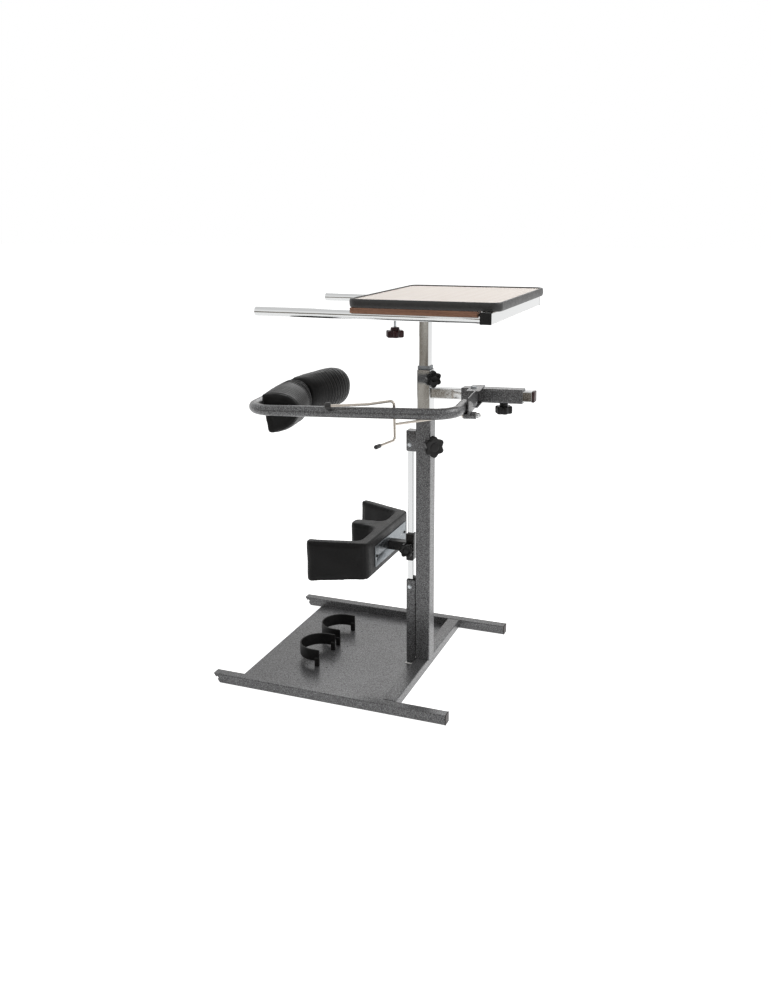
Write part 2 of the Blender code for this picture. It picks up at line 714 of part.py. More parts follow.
def pad_point(origin, heading, along, depth, height):
    """A point of a pad: along its tube, away from it to the user, and up, with the pad's lean."""
    forward = Vector((math.sin(heading), math.cos(heading), 0))
    outward = Vector((math.cos(heading), -math.sin(heading), 0))
    up = Vector((0, 0, 1))
    lean = outward * math.cos(PAD_TILT) + up * math.sin(PAD_TILT)
    rise = up * math.cos(PAD_TILT) - outward * math.sin(PAD_TILT)
    return origin + forward * along + lean * depth + rise * height


def pad_ring(origin, heading, section, skew=0.0):
    """One section of a pad: a flat back and a rounded front.

    The section gives its place along the tube, its depth and height as shares of the full size, and its lift.
    With skew, it runs further along the tube the further it is from it, as at a mitred end.
    """
    along, deep, tall, lift = section
    outline = [(0.0, -1.0), (0.0, 0.0), (0.0, 1.0), (0.34, 0.97), (0.68, 0.83), (0.93, 0.48)]
    outline += [(1.0, 0.0), (0.87, -0.47), (0.60, -0.80), (0.30, -0.95)]
    ring = []
    for out, up in outline:
        depth = PAD_STANDOFF + PAD_DEPTH * deep * out
        height = PAD_DROP + lift + PAD_HALF_HEIGHT * tall * up
        ring.append(pad_point(origin, heading, along + skew * depth, depth, height))
    return ring


def build_hoop(paint, plastic, vinyl, hoop):
    """The bent hoop tube with its two pad lugs, its end plug and the hip pads."""
    corners = hoop_corners()
    mesh = rod_mesh("hoop_tube", route(corners, HOOP_BENDS, 7), HOOP_RADIUS, 5, capped=False)
    tube = add_object("hoop_tube", mesh, paint, hoop)
    add_wall(tube, TUBE_WALL)
    rear = Vector((HOOP_REAR_X, 0, HOOP_LEVEL))
    turn = Vector(corners[3])
    tail = Vector(corners[4])
    heading = (tail - turn).normalized()
    for origin, angle, along in ((rear, 0.0, -0.085), (turn, HOOP_TURN, 0.110)):
        reach = PAD_STANDOFF - GAP
        ring_low = [pad_point(origin, angle, along + a, HOOP_RADIUS - 0.001, h)
                    for a, h in ((-LUG_HALF, -0.008), (LUG_HALF, -0.008), (LUG_HALF, 0.008), (-LUG_HALF, 0.008))]
        ring_high = [pad_point(origin, angle, along + a, reach, h)
                     for a, h in ((-LUG_HALF, -0.025), (LUG_HALF, -0.025), (LUG_HALF, 0.015), (-LUG_HALF, 0.015))]
        fuse(tube, add_object("pad_lug", loft_mesh("pad_lug", [ring_low, ring_high]), None, hoop))
    plug = cylinder("hoop_end_plug", HOOP_RADIUS, tail + heading * GAP, tail + heading * 0.003, plastic, hoop)
    inner = HOOP_RADIUS - TUBE_WALL - 2 * GAP
    fuse(plug, cylinder("hoop_plug_insert", inner, tail - heading * 0.012, tail + heading * 0.002, None, hoop))
    near = [
        (-0.205, 1.04, 0.98, 0.0),
        (-0.199, 1.08, 1.00, 0.0),
        (-0.100, 0.98, 1.06, 0.002),
        (-0.020, 0.76, 1.07, 0.004),
        (0.028, 0.56, 0.98, 0.003),
    ]
    soft_pad("hip_pad_near", [pad_ring(rear, 0.0, section) for section in near], vinyl, hoop)
    mitre = (PAD_GAP_Y - HOOP_TURN_Y) / math.cos(HOOP_TURN)
    skew = math.tan(HOOP_TURN)
    rings = [
        pad_ring(turn, HOOP_TURN, (mitre, 0.66, 0.98, 0.004), skew),
        pad_ring(turn, HOOP_TURN, (mitre + 0.012, 0.74, 1.08, 0.006), skew),
    ]
    far = [
        (0.100, 0.78, 1.14, 0.008),
        (0.155, 0.76, 1.16, 0.010),
        (0.186, 0.66, 1.04, 0.010),
        (0.204, 0.42, 0.70, 0.008),
    ]
    rings += [pad_ring(turn, HOOP_TURN, section) for section in far]
    soft_pad("hip_pad_far", rings, vinyl, hoop)


def soft_pad(name, rings, finish, parent):
    """A soft form from a coarse cage. Its back corners and its first end stay crisp."""
    mesh = loft_mesh(name, rings)
    bm = bmesh.new()
    bm.from_mesh(mesh)
    crease = bm.edges.layers.float.new("crease_edge")
    count = len(rings[0])
    bm.verts.ensure_lookup_table()
    corners = [v.index for v in bm.verts if v.index % count in (0, 2)]
    for edge in bm.edges:
        first, second = (v.index for v in edge.verts)
        if first in corners and second in corners and first % count == second % count:
            edge[crease] = 0.9
        elif first < count and second < count:
            edge[crease] = 0.6
    bm.to_mesh(mesh)
    bm.free()
    mesh.shade_smooth()
    pad = add_object(name, mesh, finish, parent)
    modifier = pad.modifiers.new("swell", "SUBSURF")
    modifier.levels = 2
    modifier.render_levels = 2
    return pad


def build_lever(paint, chrome, rubber, hoop, lever):
    """The bearing under the block and the bent lever that turns in it."""
    left, right = BEARING_X
    pivot = Vector((0, BEARING_Y, BEARING_LEVEL))
    bearing = cylinder("lever_bearing", BEARING_RADIUS, pivot + Vector((left, 0, 0)), pivot + Vector((right, 0, 0)),
                       paint, hoop, 16)
    over = Vector((OVERSHOOT, 0, 0))
    drill(bearing, LEVER_RADIUS + GAP, pivot + Vector((left, 0, 0)) - over, pivot + Vector((right, 0, 0)) + over,
          hoop, 14)
    post = Vector((*LEVER_POST, 0))
    join = Vector((post.x, post.y, LEVER_JOIN)) - pivot
    shaft = [(right + 0.0135, 0, 0), (left - 0.012, 0, 0), tuple(join)]
    mesh = rod_mesh("release_lever", route(shaft, (0.012,), 3), LEVER_RADIUS, 2)
    rod = add_object("release_lever", mesh, chrome, lever)
    top = Vector((post.x, post.y, LEVER_TOP)) - pivot
    low = Vector((post.x, post.y, LEVER_LOW)) - pivot
    upper = Vector(UPPER_END) - pivot
    kink = Vector(UPPER_KINK) - pivot
    lower = Vector(LOWER_END) - pivot
    handle_route = route([upper, kink, top, low, lower], (0.020, 0.010, 0.010), 3)
    handle = add_object("lever_handle", rod_mesh("lever_handle", handle_route, LEVER_RADIUS, 2), None, lever)
    fuse(rod, handle)
    collar = cylinder("lever_collar", 0.0075, (left - 0.0035, 0, 0), (left - GAP, 0, 0), None, lever, 14)
    fuse(rod, collar)
    for name, end, corner, radius, length in (
        ("lever_tip_upper", upper, kink, 0.010, 0.017),
        ("lever_tip_lower", lower, low, 0.0058, 0.022),
    ):
        along = (end - corner).normalized()
        start = end - along * (length * 0.45)
        tip = cylinder(name, radius, start, start + along * length, rubber, lever, 14)
        drill(tip, LEVER_RADIUS + GAP, start - along * OVERSHOOT, end + along * 2 * GAP, lever, 12)
    nut = cylinder("lever_nut", 0.0070, (right + GAP, 0, 0), (right + 0.0125, 0, 0), chrome, lever, 6)
    drill(nut, LEVER_RADIUS + GAP, (right - OVERSHOOT, 0, 0), (right + 2 * OVERSHOOT, 0, 0), lever, 12)


def knee_pad_outline():
    """The knee pad seen from above: a back with two splayed wings and a divider between the cups."""
    thickness = KNEE_PAD_THICKNESS
    front = KNEE_PAD_BACK - thickness
    wings = []
    for side, start, angle in zip((-1, 1), KNEE_PAD_Y, KNEE_WING_ANGLES):
        along = Vector((-math.cos(angle), side * math.sin(angle)))
        across = Vector((-math.sin(angle), -side * math.cos(angle)))
        outer = Vector((KNEE_PAD_BACK, start)) + along * KNEE_WING_LENGTH
        inner = outer + across * thickness
        foot = inner - along * ((front - inner.x) / -along.x)
        wings.append((Vector((KNEE_PAD_BACK, start)), outer, inner, foot))
    near, far = wings
    low_y, high_y = KNEE_DIVIDER_Y
    flare = 0.012
    return [
        (*near[0], 0.018),
        (*near[1], 0.013),
        (*near[2], 0.013),
        (*near[3], 0.030),
        (front, low_y - flare, 0.030),
        (KNEE_DIVIDER_TIP, low_y, 0.013),
        (KNEE_DIVIDER_TIP, high_y, 0.013),
        (front, high_y + flare, 0.030),
        (*far[3], 0.025),
        (*far[2], 0.013),
        (*far[1], 0.013),
        (*far[0], 0.018),
    ]


def flare_wings(mesh, front):
    """Makes the pad taller from its back's front face to the ends of its wings."""
    bm = bmesh.new()
    bm.from_mesh(mesh)
    everything = list(bm.verts) + list(bm.edges) + list(bm.faces)
    bmesh.ops.bisect_plane(bm, geom=everything, plane_co=(front, 0, 0), plane_no=(1, 0, 0), dist=1e-6)
    middle = (KNEE_PAD_LOW + KNEE_PAD_TOP) / 2
    for vert in bm.verts:
        share = max(0.0, (front - vert.co.x) / KNEE_WING_LENGTH)
        vert.co.z += share * (KNEE_WING_RISE if vert.co.z > middle else -KNEE_WING_DROP)
    bm.to_mesh(mesh)
    bm.free()


def build_knee_support(black, plate_finish, zinc, vinyl, knee):
    """The clamp on the knee rail, its arm and plate, and the knee pad. Drawn from the rail's axis."""
    origin = Vector((KNEE_RAIL_X, 0, 0))
    clamp = box("knee_clamp", (-CLAMP_HALF, -CLAMP_NEAR, CLAMP_LOW), (CLAMP_HALF, CLAMP_HALF, CLAMP_TOP), black,
                knee, 0.002)
    bore = KNEE_RAIL_HALF + GAP
    cut(clamp, box("clamp_bore", (-bore, -bore, CLAMP_LOW - OVERSHOOT), (bore, bore, CLAMP_TOP + OVERSHOOT), None,
                   knee))
    drill(clamp, STUD_HOLE, (0, -CLAMP_NEAR - OVERSHOOT, KNEE_KNOB_Z), (0, 0, KNEE_KNOB_Z), knee, 10)
    half = KNEE_ARM_HALF
    low = (KNEE_PLATE_X + GAP - origin.x, -half, KNEE_ARM_Z - half)
    high = (-CLAMP_HALF - GAP, half, KNEE_ARM_Z + half)
    square_tube("knee_arm", low, high, 0, black, knee)
    plate_back = KNEE_PLATE_X - origin.x
    plate_low = (KNEE_PAD_BACK + GAP - origin.x, KNEE_PLATE_Y[0], KNEE_PLATE_Z[0])
    plate_high = (plate_back, KNEE_PLATE_Y[1], KNEE_PLATE_Z[1])
    plate = box("knee_plate", plate_low, plate_high, plate_finish, knee)
    outline = [(x - origin.x, y, radius) for x, y, radius in knee_pad_outline()]
    mesh = plate_mesh("knee_pad", rounded_outline(outline, 4), KNEE_PAD_LOW, KNEE_PAD_TOP)
    flare_wings(mesh, KNEE_PAD_BACK - KNEE_PAD_THICKNESS - origin.x)
    smooth(mesh)
    pad = add_object("knee_pad", mesh, vinyl, knee)
    add_bevel(pad, KNEE_PAD_EDGE, 3)
    middle = (KNEE_PLATE_Z[0] + KNEE_PLATE_Z[1]) / 2
    back = KNEE_PAD_BACK - origin.x
    for side, y in (("near", KNEE_PLATE_Y[0] + 0.012), ("far", KNEE_PLATE_Y[1] - 0.012)):
        for piece in (plate, pad):
            drill(piece, SCREW_RADIUS + GAP, (back - 0.014, y, middle), (plate_back + OVERSHOOT, y, middle), knee, 8)
        screw = cylinder("knee_plate_screw_" + side, SCREW_RADIUS, (back - 0.013, y, middle),
                         (plate_back + 0.001, y, middle), zinc, knee, 8)
        head = cylinder("plate_screw_head_" + side, 0.0045, (plate_back + GAP, y, middle),
                        (plate_back + 0.003, y, middle), None, knee, 10, 0.003)
        fuse(screw, head)


def build_table_post(chrome, paint, post):
    """The post in the mast and the carriage on its head."""
    half = POST_HALF
    square_tube("table_post_tube", (-half, -half, POST_LOW), (half, half, POST_TOP), 2, chrome, post, THIN_WALL)
    start, end = CARRIAGE_X
    low = (start, -SLEEVE_HALF, CARRIAGE_LOW)
    high = (end, SLEEVE_HALF, CARRIAGE_LOW + 2 * SLEEVE_HALF)
    carriage = square_tube("table_carriage", low, high, 0, paint, post, SLEEVE_WALL, SLEEVE_CORNER)
    threaded_boss(carriage, (TABLE_KNOB_X, 0, CARRIAGE_LOW), (0, 0, -1), SLEEVE_WALL, post)


def table_outline(inset):
    """The board's outline with rounded corners, set in from the rim."""
    start, end = TABLE_X
    half = TABLE_HALF_Y - inset
    radius = TABLE_CORNER - inset
    corners = ((start + inset, -half), (end - inset, -half), (end - inset, half), (start + inset, half))
    return rounded_outline([(x, y, radius) for x, y in corners], 4)


def build_table(laminate, rubber, wood, chrome, plastic, paint, table):
    """The board with its rubber edge, on two battens, two tubes, a cross tube and the slide bar."""
    board = plate_mesh("table_board", table_outline(EDGE_THICKNESS + GAP), TABLE_LOW, TABLE_TOP)
    add_object("table_board", board, laminate, table)
    rim = plate_mesh("table_edging", table_outline(0.0), TABLE_LOW, TABLE_TOP + EDGE_LIP)
    edging = add_object("table_edging", rim, rubber, table)
    inside = plate_mesh("edging_inside", table_outline(EDGE_THICKNESS), TABLE_LOW - OVERSHOOT, TABLE_TOP + OVERSHOOT)
    cut(edging, add_object("edging_inside", inside, None, table))
    for side, sign in (("near", -1), ("far", 1)):
        tube = cylinder("side_tube_" + side, SIDE_TUBE_RADIUS, (SIDE_TUBE_START, sign * SIDE_TUBE_Y, SIDE_TUBE_Z),
                        (CROSS_TUBE_X[0] - GAP, sign * SIDE_TUBE_Y, SIDE_TUBE_Z), chrome, table, 20)
        room = SIDE_TUBE_RADIUS - TUBE_WALL
        drill(tube, room, (SIDE_TUBE_START - OVERSHOOT, sign * SIDE_TUBE_Y, SIDE_TUBE_Z),
              (CROSS_TUBE_X[1], sign * SIDE_TUBE_Y, SIDE_TUBE_Z), table, 16)
        rows = sorted(sign * y for y in BATTEN_Y)
        batten = box("table_batten_" + side, (BATTEN_X[0], rows[0], BATTEN_LOW),
                     (BATTEN_X[1], rows[1], TABLE_LOW - GAP), wood, table)
        drill(batten, SIDE_TUBE_RADIUS + GAP, (SIDE_TUBE_START, sign * SIDE_TUBE_Y, SIDE_TUBE_Z),
              (CROSS_TUBE_X[1], sign * SIDE_TUBE_Y, SIDE_TUBE_Z), table, 20)
        cap_y = sorted((sign * (CROSS_TUBE_Y + GAP), sign * (CROSS_TUBE_Y + 0.004)))
        high = CROSS_TUBE_LOW + CROSS_TUBE_X[1] - CROSS_TUBE_X[0]
        cap = box("cross_tube_cap_" + side, (CROSS_TUBE_X[0], cap_y[0], CROSS_TUBE_LOW),
                  (CROSS_TUBE_X[1], cap_y[1], high), plastic, table)
        inner = TUBE_WALL + GAP
        insert_y = sorted((sign * (CROSS_TUBE_Y - CAP_INSERT), sign * (CROSS_TUBE_Y + 0.002)))
        insert = box("cross_cap_insert_" + side, (CROSS_TUBE_X[0] + inner, insert_y[0], CROSS_TUBE_LOW + inner),
                     (CROSS_TUBE_X[1] - inner, insert_y[1], high - inner), None, table)
        chamfer_long_edges(insert, 1)
        fuse(cap, insert)
    high = CROSS_TUBE_LOW + CROSS_TUBE_X[1] - CROSS_TUBE_X[0]
    square_tube("cross_tube", (CROSS_TUBE_X[0], -CROSS_TUBE_Y, CROSS_TUBE_LOW), (CROSS_TUBE_X[1], CROSS_TUBE_Y, high),
                1, chrome, table)
    middle = CARRIAGE_LOW + SLEEVE_HALF
    half = SLIDE_BAR_HALF
    square_tube("slide_bar", (SLIDE_BAR_START, -half, middle - half), (CROSS_TUBE_X[0] - GAP, half, middle + half), 0,
                chrome, table)
    box("slide_bar_hanger", (HANGER_START, -0.022, middle - half), (SLIDE_BAR_START - GAP, 0.022, TABLE_LOW - GAP),
        paint, table)


def build_knobs(black, maroon, knobs):
    """Five star knobs, each on its own joint."""
    to_corner = (0, math.pi / 2, -math.pi / 4)
    to_near_side = (math.pi / 2, 0, 0)
    downwards = (math.pi, 0, 0)
    column_reach = (COLUMN_HALF - MAST_HALF) * math.sqrt(2) - GAP
    mast_reach = (MAST_HALF - POST_HALF) * math.sqrt(2) - GAP
    column_corner = corner_point(COLUMN_HALF, COLUMN_KNOB_Z)
    mast_corner = corner_point(MAST_HALF, MAST_KNOB_Z)
    sleeve_reach = SLEEVE_HALF - ARM_HALF - GAP
    clamp_reach = CLAMP_NEAR - KNEE_RAIL_HALF - GAP
    table_reach = SLEEVE_HALF - SLIDE_BAR_HALF - GAP
    specs = (
        ("column_knob", 0.0318, 0.018, 0.021, column_reach, black, column_corner, to_corner),
        ("mast_knob", 0.0250, 0.016, 0.018, mast_reach, black, mast_corner, to_corner),
        ("sleeve_knob", 0.0245, 0.022, 0.0095, sleeve_reach, black, (SLEEVE_KNOB_X, 0, -SLEEVE_HALF), downwards),
        ("knee_knob", 0.022, 0.018, 0.016, clamp_reach, black, (0, -CLAMP_NEAR, KNEE_KNOB_Z), to_near_side),
        ("table_knob", 0.0268, 0.020, 0.0460, table_reach, maroon, (TABLE_KNOB_X, 0, CARRIAGE_LOW), downwards),
    )
    for name, radius, thickness, standoff, reach, finish, location, rotation in specs:
        star_knob(name, radius, thickness, standoff, reach, finish, knobs[name], location, rotation)


def main():
    """Clears the scene and builds every piece."""
    for old in list(bpy.data.objects):
        bpy.data.objects.remove(old, do_unlink=True)
    bpy.context.scene.collection.children.link(PARTS)
    bpy.context.scene.collection.children.link(CUTTERS)
    paint = make_material("hammered_paint", (0.085, 0.088, 0.090), 0.42, 0.4)
    chrome = make_material("chrome", (0.62, 0.61, 0.58), 0.12, 1.0)
    zinc = make_material("zinc_plate", (0.45, 0.46, 0.47), 0.30, 1.0)
    black = make_material("black_plastic", (0.012, 0.012, 0.013), 0.40)
    black_paint = make_material("black_paint", (0.020, 0.020, 0.021), 0.40, 0.3)
    maroon = make_material("maroon_plastic", (0.050, 0.014, 0.016), 0.35)
    pale = make_material("pale_plastic", (0.45, 0.47, 0.48), 0.45)
    brown = make_material("brown_plastic", (0.055, 0.030, 0.026), 0.45)
    vinyl = make_material("black_vinyl", (0.015, 0.015, 0.016), 0.38)
    rubber = make_material("black_rubber", (0.014, 0.014, 0.014), 0.65)
    laminate = make_material("beige_laminate", (0.62, 0.52, 0.46), 0.35)
    wood = make_material("brown_wood", (0.16, 0.070, 0.040), 0.50)
    steel = make_material("knee_plate_steel", (0.30, 0.31, 0.32), 0.35, 0.8)

    mast = add_empty("mast_joint", None, (0, 0, COLUMN_TOP))
    mast_frame = add_empty("mast_frame", mast, (0, 0, -COLUMN_TOP))
    arm = add_empty("arm_frame", mast_frame, (0, 0, ARM_Z), (0, -ARM_TILT, 0))
    post = add_empty("table_post_frame", mast_frame)
    table = add_empty("table_frame", post)
    sleeve = add_empty("sleeve_frame", arm)
    hoop = add_empty("hoop_joint", sleeve, (HINGE_X, HINGE_Y, 0), (0, 0, HOOP_YAW))
    lever = add_empty("lever_joint", hoop, (0, BEARING_Y, BEARING_LEVEL))
    knee = add_empty("knee_joint", None, (KNEE_RAIL_X, 0, 0))

    build_rails(paint, brown)
    build_base_plate(paint)
    build_heel_cups(black, zinc)
    build_column(paint)
    build_knee_rail(paint, chrome, black, zinc)
    build_mast(chrome, pale, brown, mast_frame, arm)
    build_sleeve(paint, sleeve)
    build_hinge_block(paint, zinc, hoop)
    build_hoop(paint, black, vinyl, hoop)
    build_lever(paint, chrome, rubber, hoop, lever)
    build_knee_support(black_paint, steel, zinc, vinyl, knee)
    build_table_post(chrome, paint, post)
    build_table(laminate, rubber, wood, chrome, black, paint, table)
    holders = {
        "column_knob": None, "mast_knob": mast_frame, "sleeve_knob": sleeve, "knee_knob": knee, "table_knob": post
    }
    build_knobs(black, maroon, holders)
    bpy.context.view_layer.update()


main()
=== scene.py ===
# %% [markdown]
# A standing frame holds a person upright: heel cups and a knee pad in front, a padded hoop behind the hips,
# and a work table at chest height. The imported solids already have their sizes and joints, and this file gives
# them their finish. Each new surface is worked out from a formula, in the place of the solid it stands for.

import json
import math

import bmesh
import bpy
import numpy as np
from mathutils import Matrix, Vector


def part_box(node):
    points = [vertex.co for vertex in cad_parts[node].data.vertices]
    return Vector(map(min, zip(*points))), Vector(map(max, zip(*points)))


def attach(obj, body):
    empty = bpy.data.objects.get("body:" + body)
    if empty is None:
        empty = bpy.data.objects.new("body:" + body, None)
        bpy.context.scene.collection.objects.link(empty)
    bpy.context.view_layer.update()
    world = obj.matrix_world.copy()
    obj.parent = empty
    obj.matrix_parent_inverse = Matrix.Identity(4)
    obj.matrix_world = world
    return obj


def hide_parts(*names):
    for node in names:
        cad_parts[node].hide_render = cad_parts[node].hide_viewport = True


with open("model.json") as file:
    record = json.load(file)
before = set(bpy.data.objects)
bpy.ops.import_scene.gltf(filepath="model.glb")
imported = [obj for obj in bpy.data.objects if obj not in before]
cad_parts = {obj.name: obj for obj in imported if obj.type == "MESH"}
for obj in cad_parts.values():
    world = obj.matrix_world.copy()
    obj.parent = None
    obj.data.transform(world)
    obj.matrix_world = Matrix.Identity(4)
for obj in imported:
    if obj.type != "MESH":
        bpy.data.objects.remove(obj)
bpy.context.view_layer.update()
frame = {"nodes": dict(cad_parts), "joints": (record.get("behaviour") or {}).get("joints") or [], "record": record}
NODES = frame["nodes"]
BODIES = frame["record"]["behaviour"]["bodies"]
BODY_OF = {node: body for body, members in BODIES.items() for node in members}


def linked(name, data):
    """A new object with this data, in the scene."""
    thing = bpy.data.objects.new(name, data)
    bpy.context.scene.collection.objects.link(thing)
    return thing


# %% [markdown]
# The photograph was taken from the near side, a little above the table. The camera repeats that:
# its place was found by lining up the ends of the long straight tubes, and its focal length is in pixels,
# which a 36 mm sensor turns into a lens. It is turned by three angles, the last one a slight roll.

# %% Camera
IMAGE_LONG_SIDE = 1000
FOCAL_PIXELS = 962.3
CAMERA_PLACE = (0.90058724, -2.59623342, 1.37927853)
YAW, PITCH, ROLL = (math.radians(angle) for angle in (21.58, 16.95, -0.48))


def add_camera():
    """A camera from its yaw about +Z, its pitch below the horizon and its roll about the view line."""
    forward = Vector((-math.sin(YAW) * math.cos(PITCH), math.cos(YAW) * math.cos(PITCH), -math.sin(PITCH)))
    level = Vector((math.cos(YAW), math.sin(YAW), 0))
    upright = level.cross(forward)
    right = level * math.cos(ROLL) + upright * math.sin(ROLL)
    up = upright * math.cos(ROLL) - level * math.sin(ROLL)
    data = bpy.data.cameras.new("camera")
    data.sensor_width = 36.0
    data.lens = data.sensor_width * FOCAL_PIXELS / IMAGE_LONG_SIDE
    camera = linked("camera", data)
    turn = Matrix((right, up, -forward)).transposed()
    camera.matrix_world = Matrix.Translation(CAMERA_PLACE) @ turn.to_4x4()
    bpy.context.scene.camera = camera
    return camera


camera = add_camera()
print("lens", round(camera.data.lens, 2), "mm")

# %% [markdown]
# Colours are written as sRGB hex values, as a paint chart gives them. Shaders work in linear light,
# so one function turns them. A second one adds a shader node with its options and its inputs. The others
# are the steps that most materials share: noise, a colour ramp, a varying gloss and a bump.

# %% Colours and nodes


def linear(code, alpha=1.0):
    """The linear colour of an sRGB hex value: c / 12.92 when dark, otherwise ((c + 0.055) / 1.055) ** 2.4."""
    values = [int(code[place:place + 2], 16) / 255 for place in (1, 3, 5)]
    return (*(v / 12.92 if v <= 0.04045 else ((v + 0.055) / 1.055) ** 2.4 for v in values), alpha)


def add_node(tree, kind, inputs=None, stops=None, **options):
    """Adds a node: options are its own settings, and inputs are values or the sockets that feed it."""
    made = tree.nodes.new(kind)
    for key, value in options.items():
        setattr(made, key, value)
    for socket, value in (inputs or {}).items():
        if isinstance(value, bpy.types.NodeSocket):
            tree.links.new(value, made.inputs[socket])
        else:
            made.inputs[socket].default_value = value
    for index, (place, code) in enumerate(stops or ()):
        element = made.color_ramp.elements[index] if index < 2 else made.color_ramp.elements.new(place)
        element.position = place
        element.color = linear(code)
    return made


def new_material(name, settings):
    """A Principled material with these settings. Gives it with its node tree and its object coordinates."""
    material = bpy.data.materials.new(name)
    material.use_nodes = True
    tree = material.node_tree
    for socket, value in settings.items():
        tree.nodes["Principled BSDF"].inputs[socket].default_value = value
    return material, tree, add_node(tree, "ShaderNodeTexCoord").outputs["Object"]


def feed(tree, socket, value):
    """Feeds a node's output into one input of the Principled shader."""
    tree.links.new(value, tree.nodes["Principled BSDF"].inputs[socket])


def noise_of(tree, place, size, detail=2.0, roughness=0.5, distortion=0.0):
    """Cloudy noise from 0 to 1, with lumps of about this size."""
    made = add_node(tree, "ShaderNodeTexNoise", {"Vector": place, "Scale": 1 / size, "Detail": detail,
                                                 "Roughness": roughness, "Distortion": distortion})
    return made.outputs["Fac"]


def stretched(tree, place, factors):
    """Coordinates times three factors, which draws a texture out along the axes whose factor is small."""
    made = add_node(tree, "ShaderNodeVectorMath", {0: place, 1: factors}, operation="MULTIPLY")
    return made.outputs["Vector"]


def blended(tree, factor, first, second):
    """(1 - factor) * first + factor * second."""
    made = add_node(tree, "ShaderNodeMix", {"Factor": factor, 2: first, 3: second}, data_type="FLOAT")
    return made.outputs[0]


def ramp(tree, value, stops):
    """The colour that a value picks from a ramp of sRGB colours."""
    return add_node(tree, "ShaderNodeValToRGB", {"Fac": value}, stops).outputs["Color"]


def mapped(tree, value, low, high, start=0.3, end=0.7):
    """low where the value is at start, high where it is at end, and in proportion between."""
    return add_node(tree, "ShaderNodeMapRange", {"Value": value, "From Min": start, "From Max": end,
                                                 "To Min": low, "To Max": high}).outputs["Result"]


def feed_bump(tree, height, strength, distance, sockets=("Normal",), **options):
    """Bends the normals as if the value were a height over the surface."""
    bump = add_node(tree, "ShaderNodeBump", {"Strength": strength, "Distance": distance, "Height": height},
                    **options)
    for socket in sockets:
        feed(tree, socket, bump.outputs["Normal"])


# %% [markdown]
# The stage is a pale studio: a white floor, an even white surround, a large soft lamp on the side arm's side,
# one behind that glances off the upper faces, and a weak one in front. Camera and mirror rays see plain
# white, and the floor still takes a shadow.
# Chrome has no colour of its own, so in an all-white room it would vanish. Photographers hang grey cloths
# round it, whose folds draw the upright stripes on its flat sides. Three such cloths are here, seen only by
# reflections, with a bright gap between the front two. A dark sheet of painted shade under the foot plate stands
# for the shadow there and keeps the plate's small holes dark.

# %% Stage
WHITE = "#ffffff"
SURROUND = 0.33
FLOOR_GLOW = 0.92
FLOOR_REACH, FLOOR_LEVEL = 30.0, -0.0004
SHEET_MARGIN, SHEET_LEVEL = 0.01, -0.0002
FOLD_SIZE = 1 / 15
CLOTHS = (("cloth_front", -6.0, -0.93, -3.2, 1.45), ("cloth_front_right", -0.70, 1.6, -3.2, 1.45),
          ("cloth_back", -4.0, 0.3, 3.4, 1.3))
LAMPS = (("key_lamp", (2.4, 0.6, 3.1), 2.4, 46.0), ("back_lamp", (-0.7, 2.8, 2.9), 2.2, 26.0),
         ("fill_lamp", (-1.2, -3.2, 2.4), 2.6, 5.0))
LAMP_TARGET = Vector((-0.1, 0.0, 0.6))


def seen_directly(tree):
    """1 for camera, glossy and transmission rays, and 0 for the rays that light the object."""
    path = add_node(tree, "ShaderNodeLightPath")
    seen = path.outputs["Is Camera Ray"]
    for name in ("Is Glossy Ray", "Is Transmission Ray"):
        most = add_node(tree, "ShaderNodeMath", {0: seen, 1: path.outputs[name]}, operation="MAXIMUM")
        seen = most.outputs[0]
    return seen


def add_surround():
    """A white world that lights the object at a plain level, and looks fully white where it is seen."""
    world = bpy.data.worlds.new("surround")
    bpy.context.scene.world = world
    world.use_nodes = True
    tree = world.node_tree
    background = tree.nodes["Background"]
    background.inputs["Color"].default_value = linear(WHITE)
    tree.links.new(mapped(tree, seen_directly(tree), SURROUND, 1.0, 0.0, 1.0), background.inputs["Strength"])


def stage_card(name, corners, material):
    """A flat card through four corners, which is not part of the object."""
    mesh = bpy.data.meshes.new(name)
    mesh.from_pydata(corners, [], [(0, 1, 2, 3)])
    mesh.materials.append(material)
    card = linked(name, mesh)
    return card


def level_corners(low_x, low_y, high_x, high_y, level):
    """The four corners of a level rectangle."""
    return [(low_x, low_y, level), (high_x, low_y, level), (high_x, high_y, level), (low_x, high_y, level)]


def add_floor():
    """A pale matt floor that glows where it is seen, so that it meets the surround without a line."""
    settings = {"Base Color": linear("#f2f2f2"), "Roughness": 0.9, "Specular IOR Level": 0.0}
    material, tree, _ = new_material("floor_paper", {**settings, "Emission Color": linear(WHITE)})
    glow = add_node(tree, "ShaderNodeMath", {0: seen_directly(tree), 1: FLOOR_GLOW}, operation="MULTIPLY")
    feed(tree, "Emission Strength", glow.outputs[0])
    corners = level_corners(-FLOOR_REACH, -FLOOR_REACH, FLOOR_REACH, FLOOR_REACH, FLOOR_LEVEL)
    stage_card("floor", corners, material)


def add_grey_cloths():
    """Hanging cloths that only reflections see, two in front and one behind, with soft upright folds."""
    material, tree, place = new_material("grey_cloth", {"Base Color": linear("#000000"), "Roughness": 1.0,
                                                        "Specular IOR Level": 0.0, "Emission Strength": 1.0})
    folds = noise_of(tree, stretched(tree, place, (1.0, 1.0, 0.12)), FOLD_SIZE)
    feed(tree, "Emission Color", ramp(tree, folds, [(0.38, "#4e4840"), (0.66, "#e6e2da"), (0.51, "#8f887e")]))
    for name, start, end, y, top in CLOTHS:
        cloth = stage_card(name, [(start, y, 0), (end, y, 0), (end, y, top), (start, y, top)], material)
        cloth.visible_camera = False
        cloth.visible_diffuse = False
        cloth.visible_shadow = False


